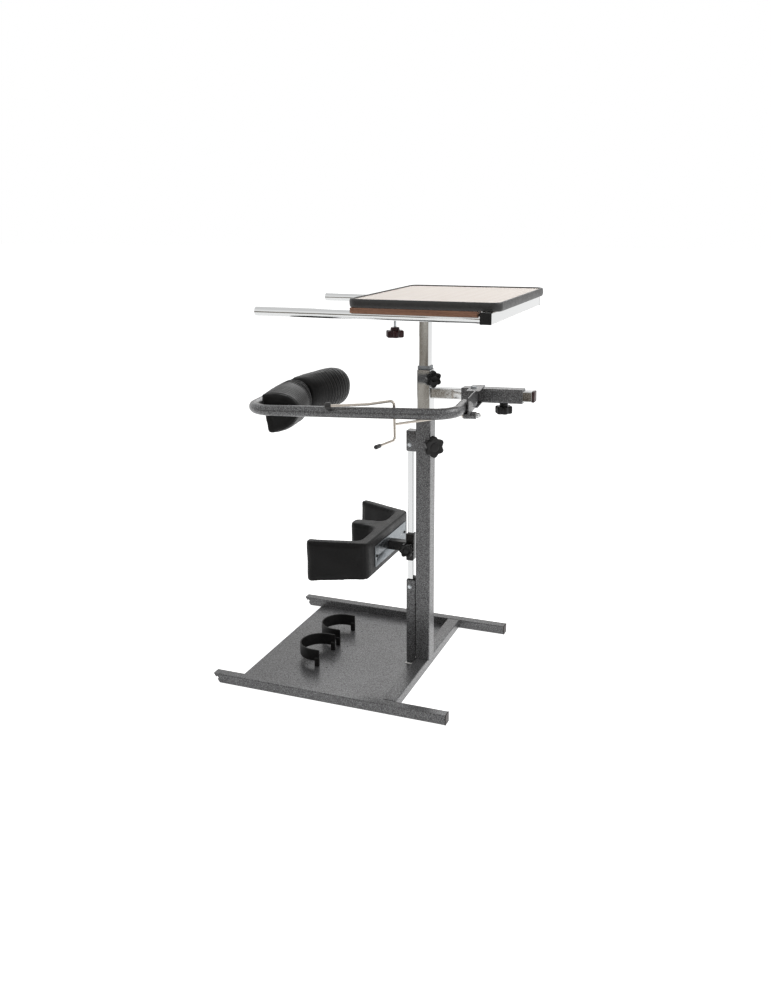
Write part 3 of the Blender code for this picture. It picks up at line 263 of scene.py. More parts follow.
def add_dark_sheet():
    """A dark sheet of painted shade under the foot plate, which shows only through its holes."""
    low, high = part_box("base_plate")
    # The near-black colour is painted shade, for the shadow under the plate that the glowing floor loses.
    material = new_material("painted_shade_sheet", {"Base Color": linear("#101010"), "Roughness": 1.0})[0]
    stage_card("painted_shade_sheet", level_corners(low.x + SHEET_MARGIN, low.y + SHEET_MARGIN, high.x - SHEET_MARGIN,
                                           high.y - SHEET_MARGIN, SHEET_LEVEL), material)


def add_lamp(name, place, size, power):
    """A square soft lamp that faces the middle of the object."""
    data = bpy.data.lights.new(name, "AREA")
    data.size = size
    data.energy = power
    lamp = linked(name, data)
    lamp.location = place
    lamp.rotation_euler = (LAMP_TARGET - Vector(place)).to_track_quat("-Z", "Y").to_euler()


bpy.context.scene.view_settings.view_transform = "Standard"
add_surround()
add_floor()
add_grey_cloths()
add_dark_sheet()
for lamp in LAMPS:
    add_lamp(*lamp)
print("stage ready")

# %% [markdown]
# Hammer-finish enamel is a stoved paint with aluminium flake and silicone. While it dries it pulls into
# small dimples with darker rims. The real cells are about 2 mm wide. They are drawn at 3.2 mm,
# because finer ones would fall between the pixels. Three layers do it: cells for the dimples,
# grainy noise for the flake, and slow clouds for the uneven spray.

# %% Hammered enamel
MM = 0.001


def hammered_enamel():
    """Grey hammer-finish enamel on steel: dimpled, part metallic, under a clear glossy skin of lacquer."""
    material, tree, place = new_material("hammered_enamel", {"Metallic": 0.30, "Coat Weight": 0.28,
                                                             "Coat Roughness": 0.14})
    cells = add_node(tree, "ShaderNodeTexVoronoi", {"Vector": place, "Scale": 1 / (3.2 * MM)}, feature="F1")
    mixed = blended(tree, 0.55, cells.outputs["Distance"], noise_of(tree, place, 2.6 * MM))
    tint = ramp(tree, mixed, [(0.26, "#98999a"), (0.64, "#3f3f40"), (0.46, "#636364")])
    cloud = mapped(tree, noise_of(tree, place, 90 * MM), 0.93, 1.07)
    shade = add_node(tree, "ShaderNodeVectorMath", {0: tint, "Scale": cloud}, operation="SCALE")
    feed(tree, "Base Color", shade.outputs["Vector"])
    feed(tree, "Roughness", mapped(tree, mixed, 0.26, 0.46, 0.0, 1.0))
    feed_bump(tree, mixed, 0.35, 0.5 * MM, ("Normal", "Coat Normal"), invert=True)
    return material


# %% [markdown]
# The bright tubes are chrome plate over polished steel. Chromium is a slightly blue grey mirror.
# Two things make it read as real plate and not as a perfect mirror: the drawn tube is a little wavy,
# and polishing leaves hairlines that blur the reflection along the tube.

# %% Chrome and the other bare metals


def polished_metal(name, code, roughness, wave, wave_size, streak):
    """A bare or plated metal: slow waves bend its reflections, and stretched hairlines blur them."""
    material, tree, place = new_material(name, {"Base Color": linear(code), "Metallic": 1.0})
    hairlines = noise_of(tree, stretched(tree, place, streak), 1.2 * MM, 3.0)
    feed(tree, "Roughness", mapped(tree, hairlines, 0.6 * roughness, 1.5 * roughness))
    feed_bump(tree, noise_of(tree, place, wave_size, 1.0), wave, 1.0 * MM)
    return material


# %% [markdown]
# The knobs, heel cups and caps are moulded plastic. The mould is spark eroded, which leaves a fine even
# grain. The knobs are glossy phenolic, the cups and caps a duller nylon or polythene.

# %% Moulded plastics and gloss paint


def moulded_plastic(name, code, light_code, roughness, grain, depth):
    """A moulded plastic: one colour with pale handling marks that shade the gloss, and a fine grain."""
    material, tree, place = new_material(name, {"IOR": 1.5, "Specular IOR Level": 0.26})
    marks = noise_of(tree, place, 14 * MM, 6.0, 0.62)
    feed(tree, "Base Color", ramp(tree, marks, [(0.42, code), (0.72, light_code)]))
    feed(tree, "Roughness", mapped(tree, marks, 0.85 * roughness, 1.2 * roughness))
    feed_bump(tree, noise_of(tree, place, grain), depth, 0.2 * MM)
    return material


# %% [markdown]
# Leathercloth is vinyl on a knitted back, embossed with a leather grain. Real grain cells are 1 to 2 mm.
# Here they are 2.4 mm so that they show. Between the cells the vinyl is darker and the cell tops a little
# lighter, and the gloss changes in slow patches. A weak sheen gives the grey bloom on the pads' upper sides.

# %% Leathercloth and rubber


def leathercloth():
    """Black vinyl leathercloth: embossed cells with lighter tops, whose edges wander a little."""
    settings = {"IOR": 1.52, "Specular IOR Level": 0.14, "Sheen Weight": 0.12, "Sheen Roughness": 0.45}
    material, tree, place = new_material("vinyl_leathercloth", settings)
    wander = add_node(tree, "ShaderNodeTexNoise", {"Vector": place, "Scale": 1 / (5 * MM), "Detail": 2.0})
    drift = add_node(tree, "ShaderNodeVectorMath", {0: wander.outputs["Color"], "Scale": 1.6 * MM},
                     operation="SCALE")
    bent = add_node(tree, "ShaderNodeVectorMath", {0: place, 1: drift.outputs["Vector"]}, operation="ADD")
    cells = add_node(tree, "ShaderNodeTexVoronoi", {"Vector": bent.outputs["Vector"],
                                                    "Scale": 1 / (2.4 * MM)}, feature="DISTANCE_TO_EDGE")
    tops = mapped(tree, cells.outputs["Distance"], 0.0, 1.0, 0.0, 0.25)
    feed(tree, "Base Color", ramp(tree, tops, [(0.0, "#060606"), (1.0, "#151414")]))
    feed(tree, "Roughness", mapped(tree, noise_of(tree, place, 35 * MM, 4.0), 0.36, 0.50))
    feed_bump(tree, tops, 0.40, 0.25 * MM)
    return material


def extruded_rubber():
    """Black PVC edging: smooth from the die, with faint lines along it and a dusty bloom."""
    material, tree, place = new_material("extruded_edging", {"IOR": 1.5})
    dust = noise_of(tree, place, 9 * MM, 8.0, 0.65)
    feed(tree, "Base Color", ramp(tree, dust, [(0.40, "#161515"), (0.74, "#2c2a29")]))
    feed(tree, "Roughness", mapped(tree, dust, 0.34, 0.52))
    feed_bump(tree, noise_of(tree, stretched(tree, place, (0.02, 0.02, 1.0)), 1.5 * MM), 0.2, 0.2 * MM)
    return material


# %% [markdown]
# The table is chipboard with a pressed laminate in a pale maple tone. The print has soft streaks across
# the table and a fine fleck. The battens under it are solid beech, stained: wood fibres run along them,
# so the noise is stretched along X, and rings make slow wavy bands.

# %% Laminate and wood


def wood_grain(tree, place, factors, size):
    """Noise drawn out along one direction, as fibres are."""
    return noise_of(tree, stretched(tree, place, factors), size, 5.0, 0.6, 0.4)


def maple_laminate():
    """Pressed laminate with a maple print: pale, slightly pink, satin."""
    material, tree, place = new_material("maple_laminate", {"Roughness": 0.50, "IOR": 1.5})
    fleck = noise_of(tree, place, 2.2 * MM)
    mixed = blended(tree, 0.35, wood_grain(tree, place, (1.0, 0.06, 1.0), 16 * MM), fleck)
    feed(tree, "Base Color", ramp(tree, mixed, [(0.34, "#e1d4c8"), (0.66, "#ece2d9")]))
    feed_bump(tree, fleck, 0.08, 0.2 * MM)
    return material


def stained_beech():
    """Solid beech, stained reddish brown and lacquered: fibres along X and short dark pores."""
    material, tree, place = new_material("stained_beech", {"Roughness": 0.42, "IOR": 1.5})
    rings = wood_grain(tree, place, (0.05, 1.0, 1.0), 7 * MM)
    pores = wood_grain(tree, place, (0.12, 1.0, 1.0), 1.1 * MM)
    mixed = blended(tree, 0.4, rings, pores)
    feed(tree, "Base Color", ramp(tree, mixed, [(0.32, "#77503c"), (0.68, "#c08f70"), (0.50, "#a3745a")]))
    feed_bump(tree, mixed, 0.25, 0.3 * MM)
    return material


ENAMEL = hammered_enamel()
CHROME = polished_metal("chrome_plate", "#c6c7c7", 0.07, 0.10, 60 * MM, (0.15, 0.15, 0.15))
ZINC = polished_metal("bright_zinc_plate", "#b4b8bb", 0.26, 0.05, 20 * MM, (1.0, 1.0, 1.0))
STEEL = polished_metal("brushed_steel", "#777c80", 0.34, 0.05, 40 * MM, (1.0, 0.04, 1.0))
PHENOLIC = moulded_plastic("black_phenolic", "#090808", "#151313", 0.30, 0.9 * MM, 0.10)
MAROON = moulded_plastic("maroon_phenolic", "#2c1013", "#4a2326", 0.28, 0.9 * MM, 0.10)
NYLON = moulded_plastic("black_nylon", "#0b0a0a", "#181616", 0.46, 1.1 * MM, 0.25)
BUSH = moulded_plastic("pale_nylon", "#a9aeb2", "#c3c8cb", 0.44, 1.1 * MM, 0.15)
POLYTHENE = moulded_plastic("brown_polythene", "#241c1b", "#352b29", 0.42, 1.2 * MM, 0.25)
PLUG = moulded_plastic("maroon_polythene", "#331f1f", "#4c3535", 0.40, 1.2 * MM, 0.25)
NICKEL = polished_metal("nickel_plate", "#b3aca3", 0.16, 0.02, 20 * MM, (0.3, 0.3, 0.3))
# A brighter metal for the welds at the posts' feet: painted highlight, standing for their glints.
GLINT_METAL = polished_metal("painted_glint_metal", "#d3d3d0", 0.42, 0.30, 3 * MM, (1.0, 1.0, 1.0))
GLOSS = moulded_plastic("black_gloss_enamel", "#171514", "#2b2826", 0.28, 2.2 * MM, 0.12)
VINYL = leathercloth()
RUBBER = extruded_rubber()
LAMINATE = maple_laminate()
BEECH = stained_beech()
print(len(bpy.data.materials), "materials")

# %% [markdown]
# Every new surface is a grid of points: one index runs along the piece, the other round it.
# The grid becomes a mesh in one step. Which way the faces point is decided by the volume they enclose,
# so that no piece is ever inside out.

# %% Grids to meshes


def grid_mesh(name, grid, loops=(False, True), capped=False, sharp=38.0):
    """A mesh of quads from grid[i, j].

    loops says whether the last row, or the last column, joins the first. capped closes the first and last
    rows with one face each. The sum of a . (b x c) over the faces gives the volume, and its sign the order.
    """
    rows, columns = grid.shape[:2]
    numbers = np.arange(rows * columns).reshape(rows, columns)
    if loops[0]:
        numbers = np.vstack([numbers, numbers[:1]])
    if loops[1]:
        numbers = np.hstack([numbers, numbers[:, :1]])
    quads = np.stack([numbers[:-1, :-1], numbers[:-1, 1:], numbers[1:, 1:], numbers[1:, :-1]], -1)
    quads = quads.reshape(-1, 4)
    points = grid.reshape(-1, 3)
    a, b, c, d = (points[quads[:, corner]] - points.mean(0) for corner in range(4))
    volume = np.sum(a * np.cross(b, c)) + np.sum(a * np.cross(c, d))
    first = np.arange(columns)[::-1]
    last = np.arange(columns) + (rows - 1) * columns
    faces = quads.tolist() + ([first.tolist(), last.tolist()] if capped else [])
    if volume < 0:
        faces = [face[::-1] for face in faces]
    mesh = bpy.data.meshes.new(name)
    mesh.from_pydata(points.tolist(), [], faces)
    finish_shading(mesh, sharp)
    return mesh


def finish_shading(mesh, sharp):
    """Smooth shading, with sharp edges where faces meet at more than this angle."""
    mesh.validate()
    mesh.shade_smooth()
    mesh.set_sharp_from_angle(angle=math.radians(sharp))


def place_piece(name, mesh, material, body, stands_for=(), flat_sides=False):
    """Puts a finished mesh in the scene on its body, in place of the solids that it stands for."""
    mesh.materials.clear()
    mesh.materials.append(material)
    piece = linked(name, mesh)
    if flat_sides:
        piece.modifiers.new("flat_sides", "WEIGHTED_NORMAL").keep_sharp = True
    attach(piece, body)
    if stands_for:
        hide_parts(*stands_for)
    return piece


def moved(grid, matrix):
    """The grid's points, carried by a 4 x 4 matrix."""
    turn = np.array(matrix)
    return grid @ turn[:3, :3].T + turn[:3, 3]


def closed_piece(name, grid, place, material, body, stands_for=(), flat_sides=False):
    """A grid with both ends closed, carried by its frame and put in the scene."""
    mesh = grid_mesh(name, moved(grid, place), capped=True)
    return place_piece(name, mesh, material, body, stands_for, flat_sides)


def swept(spine, ring, side, lift):
    """Each flat point (a, b) of a ring at its place on the spine: spine + a * side + b * lift."""
    side, lift = (np.array(way, float).reshape(-1, 1, 3) for way in (side, lift))
    return spine[:, None] + ring[..., :1] * side + ring[..., 1:] * lift


def level_ring(outline, centre, height):
    """A flat outline round a centre, lying at one height."""
    return np.column_stack([outline + np.array(centre), np.full(len(outline), height)])


def corners_of(node):
    """The low corner, the high corner and the middle of a solid's box."""
    low, high = (np.array(corner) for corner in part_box(node))
    return low, high, (low + high) / 2


def evaluated_mesh(thing):
    """The mesh that the object's modifiers give."""
    depsgraph = bpy.context.evaluated_depsgraph_get()
    return bpy.data.meshes.new_from_object(thing.evaluated_get(depsgraph))


def combined(mesh, other, operation):
    """The mesh after a Boolean with another mesh."""
    first, second = linked("kept", mesh), linked("tool", other)
    boolean = first.modifiers.new("boolean", "BOOLEAN")
    boolean.operation = operation
    boolean.object = second
    result = evaluated_mesh(first)
    for thing in (first, second):
        bpy.data.objects.remove(thing)
    return result


def merged_copy(node, ending, flat_within=0.0):
    """A copy of a solid's mesh: doubled points merged, and faces joined that are flat within some degrees."""
    bm = bmesh.new()
    bm.from_mesh(NODES[node].data)
    bmesh.ops.remove_doubles(bm, verts=bm.verts, dist=2e-6)
    if flat_within:
        bmesh.ops.dissolve_limit(bm, angle_limit=math.radians(flat_within), verts=bm.verts, edges=bm.edges)
    mesh = bpy.data.meshes.new(node + ending)
    bm.to_mesh(mesh)
    bm.free()
    return mesh


# %% [markdown]
# The side arm rises slightly, and the hip hoop and its lever sit on it, each in a frame of its own.
# Drawing a piece in its own frame keeps its numbers plain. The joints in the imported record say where
# the frames are, and the difference is printed as a check.

# %% Frames of the arm, the hoop and the lever
ARM_HEIGHT = 0.8668
ARM_TILT = math.radians(1.25)
HINGE = (0.154, -0.030, 0.0)
HOOP_YAW = math.radians(6.5)
BEARING = (0.0, -0.1015, -0.0339)
STAND_FRAME = Matrix.Identity(4)
ARM_FRAME = Matrix.Translation((0, 0, ARM_HEIGHT)) @ Matrix.Rotation(-ARM_TILT, 4, "Y")
HOOP_FRAME = ARM_FRAME @ Matrix.Translation(HINGE) @ Matrix.Rotation(HOOP_YAW, 4, "Z")
LEVER_FRAME = HOOP_FRAME @ Matrix.Translation(BEARING)
joints = {joint["name"]: joint for joint in frame["joints"]}
for name, place in (("hoop_hinge", HOOP_FRAME), ("lever_hinge", LEVER_FRAME)):
    gap = (place.translation - Vector(joints[name]["pos_m"])).length
    print(name, "frame is off by", round(gap * 1000, 3), "mm")

# %% [markdown]
# Square tube is drawn through rollers, so its corners are round and its sides flat. Its surface is a ring
# that runs out along the outside, over the cut end, and back along the inside. In the grid that is one
# closed strip of eight outlines: four outside and on the rims, four inside.
# A tube is as large as its solid's box, but for the arm's two, which are drawn in the arm's frame. The boxes
# of the column and the mast tube also hold the boss on their near corner. So these two are drawn 4.9 to
# 6.4 mm too thick, and reach too far towards that corner.

# %% Square tubes
X, Y, Z = range(3)
SQUARE = ((1, 1), (-1, 1), (-1, -1), (1, -1))
SAW_EDGE = 0.4 * MM
BOSS = 1.5 * MM
WALL, THIN_WALL, SLEEVE_WALL = 0.002, 0.0015, 0.0046
CORNER, THIN_CORNER, SLEEVE_CORNER = 0.003, 0.002, 0.005
PAINT, PLATE = "hammered_paint", "chrome"


def rounded_rectangle(width, height, radius, steps=6):
    """An outline of four quarter circles: centre + radius (cos a, sin a) at each corner."""
    turn = np.linspace(0, np.pi / 2, steps + 1)
    arcs = []
    for quarter, (x, y) in enumerate(SQUARE):
        angle = turn + quarter * np.pi / 2
        centre = np.array((x * (width / 2 - radius), y * (height / 2 - radius)))
        arcs.append(centre + radius * np.stack([np.cos(angle), np.sin(angle)], -1))
    return np.concatenate(arcs)


def square_tube_grid(low, high, axis, wall, corner, slant=0.0):
    """Eight outlines of a square tube, each inset from the outside and set at one end or the other.

    slant moves the first end along by slant * (1 - height share), so that its lower edge is cut back.
    """
    low, high = np.array(low, float), np.array(high, float)
    first, second = ((1, 2), (2, 0), (0, 1))[axis]
    width, height = high[first] - low[first], high[second] - low[second]
    rim = min(SAW_EDGE, wall / 3)
    stations = ((0, rim, 0.0), (1, -rim, 0.0), (1, 0.0, rim), (1, 0.0, wall - rim),
                (1, -rim, wall), (0, rim, wall), (0, 0.0, wall - rim), (0, 0.0, rim))
    rows = []
    for end, shift, inset in stations:
        outline = rounded_rectangle(width - 2 * inset, height - 2 * inset, max(corner - inset, 0.6 * MM))
        row = np.zeros((len(outline), 3))
        row[:, first] = outline[:, 0] + (low[first] + high[first]) / 2
        row[:, second] = outline[:, 1] + (low[second] + high[second]) / 2
        row[:, axis] = (high if end else low)[axis] + shift
        if not end:
            row[:, axis] += slant * (1 - (row[:, 2] - low[2]) / (high[2] - low[2]))
        rows.append(row)
    return np.stack(rows)


def square_tube(node, material, axis, wall, corner, place=STAND_FRAME, ends=None, boss_side=None):
    """A square tube in place of a solid. boss_side takes a boss off one side of its box: (axis, -1 or 1)."""
    low, high = (np.array(end) for end in (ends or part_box(node)))
    if boss_side:
        side_axis, sign = boss_side
        (high if sign > 0 else low)[side_axis] -= sign * BOSS
    grid = moved(square_tube_grid(low, high, axis, wall, corner), place)
    mesh = grid_mesh(node + "_tube", grid, loops=(True, True))
    place_piece(node + "_drawn", mesh, material, BODY_OF[node], (node,), flat_sides=True)


square_tube("crossbar", ENAMEL, Y, WALL, CORNER)
square_tube("column", ENAMEL, Z, WALL, CORNER, boss_side=(X, 1))
square_tube("knee_post", ENAMEL, Z, WALL, CORNER)
square_tube("knee_rail", CHROME, Z, THIN_WALL, THIN_CORNER)
square_tube("mast_tube", CHROME, Z, THIN_WALL, CORNER, boss_side=(X, 1))
square_tube("table_post_tube", CHROME, Z, THIN_WALL, CORNER)
square_tube("table_carriage", ENAMEL, X, SLEEVE_WALL, SLEEVE_CORNER, boss_side=(Z, -1))
square_tube("slide_bar", CHROME, X, WALL, CORNER)
square_tube("cross_tube", CHROME, Y, WALL, CORNER)
square_tube("knee_arm", GLOSS, X, WALL, CORNER)
square_tube("arm_tube", CHROME, X, WALL, CORNER, ARM_FRAME,
            ((0.0182, -0.015, -0.015), (0.3145, 0.015, 0.015)))
square_tube("arm_sleeve", ENAMEL, X, SLEEVE_WALL, SLEEVE_CORNER, ARM_FRAME,
            ((0.114, -0.020, -0.020), (0.289, 0.020, 0.020)))
print("square tubes drawn")

# %% [markdown]
# The floor rails are the same tube with the user's end cut on a slant. A hole was drilled across the slant,
# so close to the edge that it bites into it. A Boolean takes the drill out of the tube, and is applied at
# once so that no cutter stays in the scene.

# %% Floor rails
RAIL_SLANT = 0.0215
DRILL_X, DRILL_Z, DRILL_RADIUS, DRILL_LENGTH = -0.549, 0.0165, 0.004, 0.06


def circle(sides):
    """Points (cos a, sin a) round a circle."""
    angle = np.linspace(0, 2 * np.pi, sides, endpoint=False)
    return np.stack([np.cos(angle), np.sin(angle)], -1)


def turned_grid(profile, start, along, sides=36, flat=None):
    """A turned piece: each profile row is (distance along the axis, radius), carried round the axis.

    flat is half the width across a hexagon's flats. It limits the radius to flat / cos(angle to the flat).
    """
    along = Vector(along).normalized()
    across = along.orthogonal().normalized()
    profile = np.array(profile, float)
    radius = np.repeat(profile[:, 1:], sides, 1)
    if flat:
        to_flat = (np.linspace(0, 2 * np.pi, sides, endpoint=False) + np.pi / 6) % (np.pi / 3) - np.pi / 6
        radius = np.minimum(flat / np.cos(to_flat), radius)
    spine = np.array(start) + profile[:, :1] * np.array(along)
    return swept(spine, circle(sides) * radius[..., None], across, along.cross(across))


def rod_profile(radius, length, edge):
    """The profile of a plain rod with its end edges rounded by a quarter circle."""
    bend = np.linspace(0, np.pi / 2, 5)
    start = np.stack([edge - edge * np.cos(bend), radius - edge + edge * np.sin(bend)], -1)
    return np.concatenate([start, start[::-1] * (-1, 1) + (length, 0)])


for side in ("near", "far"):
    name = "rail_" + side
    low, high, middle = corners_of(name)
    tube = grid_mesh(name, square_tube_grid(low, high, X, WALL, CORNER, RAIL_SLANT), loops=(True, True))
    drill = turned_grid(rod_profile(DRILL_RADIUS, DRILL_LENGTH, 0.001),
                        (DRILL_X, middle[1] - DRILL_LENGTH / 2, DRILL_Z), (0, 1, 0), 28)
    cut = combined(tube, grid_mesh("drill", drill, capped=True), "DIFFERENCE")
    finish_shading(cut, 38.0)
    place_piece(name + "_drawn", cut, ENAMEL, "stand", (name,), flat_sides=True)
print("rails cut and drilled")

# %% [markdown]
# Flat plates, caps, blocks and battens already have their shape. What they lack is a worn edge:
# nothing real has a knife edge, and the thin bright line along an edge is what makes metal look thick.
# A copy of the solid is merged, its flat faces are made whole again, and Bevel rounds its edges.

# %% Eased copies of the flat pieces


def eased_piece(node, material, width, segments=2, angle=30.0):
    """A merged copy of a solid with its edges rounded to a small width, or left as cut where that is 0."""
    mesh = merged_copy(node, "_eased", 0.6)
    finish_shading(mesh, angle)
    piece = place_piece(node + "_finished", mesh, material, BODY_OF[node], (node,), not width)
    if width:
        bevel = piece.modifiers.new("eased_edges", "BEVEL")
        bevel.width = width
        bevel.segments = segments
        bevel.limit_method = "ANGLE"
        bevel.angle_limit = math.radians(angle)
        bevel.miter_outer = "MITER_ARC"
        bevel.harden_normals = True


EASED = (
    ("base_plate", ENAMEL, PAINT, 0.0), ("knee_rail_bracket", ENAMEL, PAINT, 0.3),
    ("slide_bar_hanger", ENAMEL, PAINT, 0.8), ("hinge_block", ENAMEL, PAINT, 0.7),
    ("rail_cap_near", POLYTHENE, "brown_plastic", 0.7), ("rail_cap_far", POLYTHENE, "brown_plastic", 0.7),
    ("arm_end_plug", PLUG, "brown_plastic", 0.4), ("knee_post_plug", NYLON, "black_plastic", 0.6),
    ("cross_tube_cap_near", NYLON, "black_plastic", 1.0), ("cross_tube_cap_far", NYLON, "black_plastic", 1.0),
    ("mast_bush", BUSH, "pale_plastic", 0.3), ("knee_clamp", GLOSS, "black_paint", 0.3),
    ("knee_plate", STEEL, "knee_plate_steel", 0.6),
    ("table_batten_near", BEECH, "brown_wood", 1.2), ("table_batten_far", BEECH, "brown_wood", 1.2),
)
for node, material, slot, width in EASED:
    eased_piece(node, material, width * MM)
print(len(EASED), "flat pieces eased")

# %% [markdown]
# Round tubes, rods and welds are a section carried along a path. At each point of the path the section
# stands square to it. The two directions across are turned from one point to the next as little as possible,
# so that nothing twists.

# %% Sections carried along a path


def frames_along(path, closed=False, up=None):
    """The direction at each point of a path, and two directions square to it.

    With up, the second one is square to up, which suits a flat path. Without, they turn as little as
    they can.
    """
    ahead = np.roll(path, -1, 0) - np.roll(path, 1, 0) if closed else np.gradient(path, axis=0)
    ahead /= np.linalg.norm(ahead, axis=1, keepdims=True)
    if up is None:
        side = np.empty_like(ahead)
        last = np.array(Vector(ahead[0]).orthogonal())
        for index, direction in enumerate(ahead):
            last = last - direction * np.dot(last, direction)
            last = last / np.linalg.norm(last)
            side[index] = last
    else:
        side = np.cross(ahead, np.array(up, float))
        side /= np.linalg.norm(side, axis=1, keepdims=True)
    return ahead, side, np.cross(side, ahead)


def bent_path(corners, radii, steps=14):
    """A path through the corners. Each inner one is an arc of its radius, tangent to both straight runs."""
    corners = [np.array(corner, float) for corner in corners]
    points = [corners[0]]
    for index, radius in enumerate(radii, 1):
        back = corners[index - 1] - corners[index]
        on = corners[index + 1] - corners[index]
        back /= np.linalg.norm(back)
        on /= np.linalg.norm(on)
        half = np.arccos(np.clip(back @ on, -1, 1)) / 2
        middle = (back + on) / np.linalg.norm(back + on)
        centre = corners[index] + middle * radius / np.sin(half)
        first = corners[index] + back * radius / np.tan(half) - centre
        last = corners[index] + on * radius / np.tan(half) - centre
        sweep = np.pi - 2 * half
        share = np.linspace(0, 1, steps + 1)[:, None]
        arc = (np.sin((1 - share) * sweep) * first + np.sin(share * sweep) * last) / np.sin(sweep)
        points.extend(centre + arc)
    points.append(corners[-1])
    return np.array(points)


def straight_path(start, end):
    """A straight path with a point at its middle."""
    start, end = np.array(start, float), np.array(end, float)
    return np.array([start, (start + end) / 2, end])


def round_bar_grid(path, radius, wall=0.0, sides=40, edge=0.5 * MM):
    """Rings round a path, from one end to the other, with eased ends.

    With a wall they come back on the inside, so that the bar is an open tube.
    """
    ahead, side, lift = frames_along(path)
    last = len(path) - 1
    stations = [(0, 0.0, edge), (0, edge, 0.0), *((place, 0.0, 0.0) for place in range(1, last)),
                (last, -edge, 0.0), (last, 0.0, edge)]
    rings = [(place, shift, radius - inset) for place, shift, inset in stations]
    if wall:
        rings += [(place, shift, radius - wall + inset) for place, shift, inset in reversed(stations)]
    place, shift, size = np.array(rings).T
    place = place.astype(int)
    spine = path[place] + ahead[place] * shift[:, None]
    return swept(spine, circle(sides) * size[:, None, None], side[place], lift[place])


def round_bar(name, path, radius, material, body, stands_for=(), wall=0.0, sides=40):
    """A rod, or a tube where it has a wall, along a path."""
    grid = round_bar_grid(path, radius, wall, sides)
    mesh = grid_mesh(name, grid, loops=(bool(wall), True), capped=not wall)
    place_piece(name, mesh, material, body, stands_for)


# %% [markdown]
# The hip hoop is one 30 mm round tube, bent three times: out of its bracket, round towards the user's back,
# and in again behind it. Two welded lugs carry the pads. The far end has a push-in plug.

# %% Hip hoop
HOOP_RADIUS = 0.015
HOOP_LEVEL = -0.005
HOOP_START = (-0.0083, -0.100)
HOOP_NEAR_Y = -0.2396
HOOP_REAR_X = -0.586
HOOP_TURN_Y = 0.060
HOOP_TURN = math.radians(26.0)
HOOP_TAIL = 0.200
HOOP_BENDS = (0.062, 0.075, 0.120)
PAD_STANDOFF = 0.0385
PAD_TILT = math.radians(8.0)
LUG_LENGTH, LUG_CORNER = 0.040, 0.003
LUG_ENDS = ((HOOP_RADIUS - 0.001, 0.016, 0.0), (PAD_STANDOFF - 0.0005, 0.040, -0.005))
PLUG_PROFILE = ((-0.012, 0.0120), (-0.0003, 0.0125), (0.0003, 0.0146), (0.0022, 0.0150), (0.0030, 0.0140))

tail_heading = np.array((math.sin(HOOP_TURN), math.cos(HOOP_TURN), 0))
rear = np.array((HOOP_REAR_X, 0, HOOP_LEVEL))
turn = np.array((HOOP_REAR_X, HOOP_TURN_Y, HOOP_LEVEL))
tail = turn + tail_heading * HOOP_TAIL
hoop_corners = [(*HOOP_START, HOOP_LEVEL), (HOOP_START[0], HOOP_NEAR_Y, HOOP_LEVEL),
                (HOOP_REAR_X, HOOP_NEAR_Y, HOOP_LEVEL), turn, tail]
hoop_path = moved(bent_path(hoop_corners, HOOP_BENDS, 24), HOOP_FRAME)
round_bar("hoop_tube_bent", hoop_path, HOOP_RADIUS, ENAMEL, "hoop", ("hoop_tube",), WALL, 56)
hoop_length = np.linalg.norm(np.diff(hoop_path, axis=0), axis=1).sum()
print("hoop tube is", round(hoop_length, 3), "m long before bending")


def pad_axes(heading):
    """A pad's three directions: along the hoop, out from it and up. The last two lean by the pad's tilt."""
    forward = np.array((math.sin(heading), math.cos(heading), 0))
    outward = np.array((math.cos(heading), -math.sin(heading), 0))
    upward = np.array((0, 0, 1))
    lean = outward * math.cos(PAD_TILT) + upward * math.sin(PAD_TILT)
    return forward, lean, upward * math.cos(PAD_TILT) - outward * math.sin(PAD_TILT)


def pad_lug_grid(origin, heading, along):
    """A lug that widens from the tube to the pad's back: two rounded rectangles joined by straight sides."""
    forward, lean, rise = pad_axes(heading)
    centres = [origin + forward * along + lean * out + rise * middle for out, height, middle in LUG_ENDS]
    outlines = [rounded_rectangle(LUG_LENGTH, height, LUG_CORNER, 4) for out, height, middle in LUG_ENDS]
    return swept(np.array(centres), np.array(outlines), forward, rise)


for name, origin, heading, along in (("near", rear, 0.0, -0.085), ("far", turn, HOOP_TURN, 0.110)):
    closed_piece("pad_lug_" + name, pad_lug_grid(origin, heading, along), HOOP_FRAME, ENAMEL, "hoop")
closed_piece("hoop_end_plug_moulded", turned_grid(PLUG_PROFILE, tail, tail_heading), HOOP_FRAME, NYLON,
             "hoop", ("hoop_end_plug",))

# %% [markdown]
# The table slides on two round chrome tubes. Their open ends face the user, so the bore shows.

# %% Table tubes
for side in ("near", "far"):
    node = "side_tube_" + side
    low, high, middle = corners_of(node)
    path = straight_path((low[0], *middle[1:]), (high[0], *middle[1:]))
    round_bar(node + "_drawn", path, (high[2] - low[2]) / 2, CHROME, "table", (node,), WALL, 48)
print("side tubes drawn")

# %% [markdown]
# The release lever is made of 7 mm nickel-plated rod: a shaft through the bearing, bent down to meet
# an upright handle whose two ends are swept back, each with a rubber tip. The shaft runs a little
# into the handle, and a small weld covers the joint.

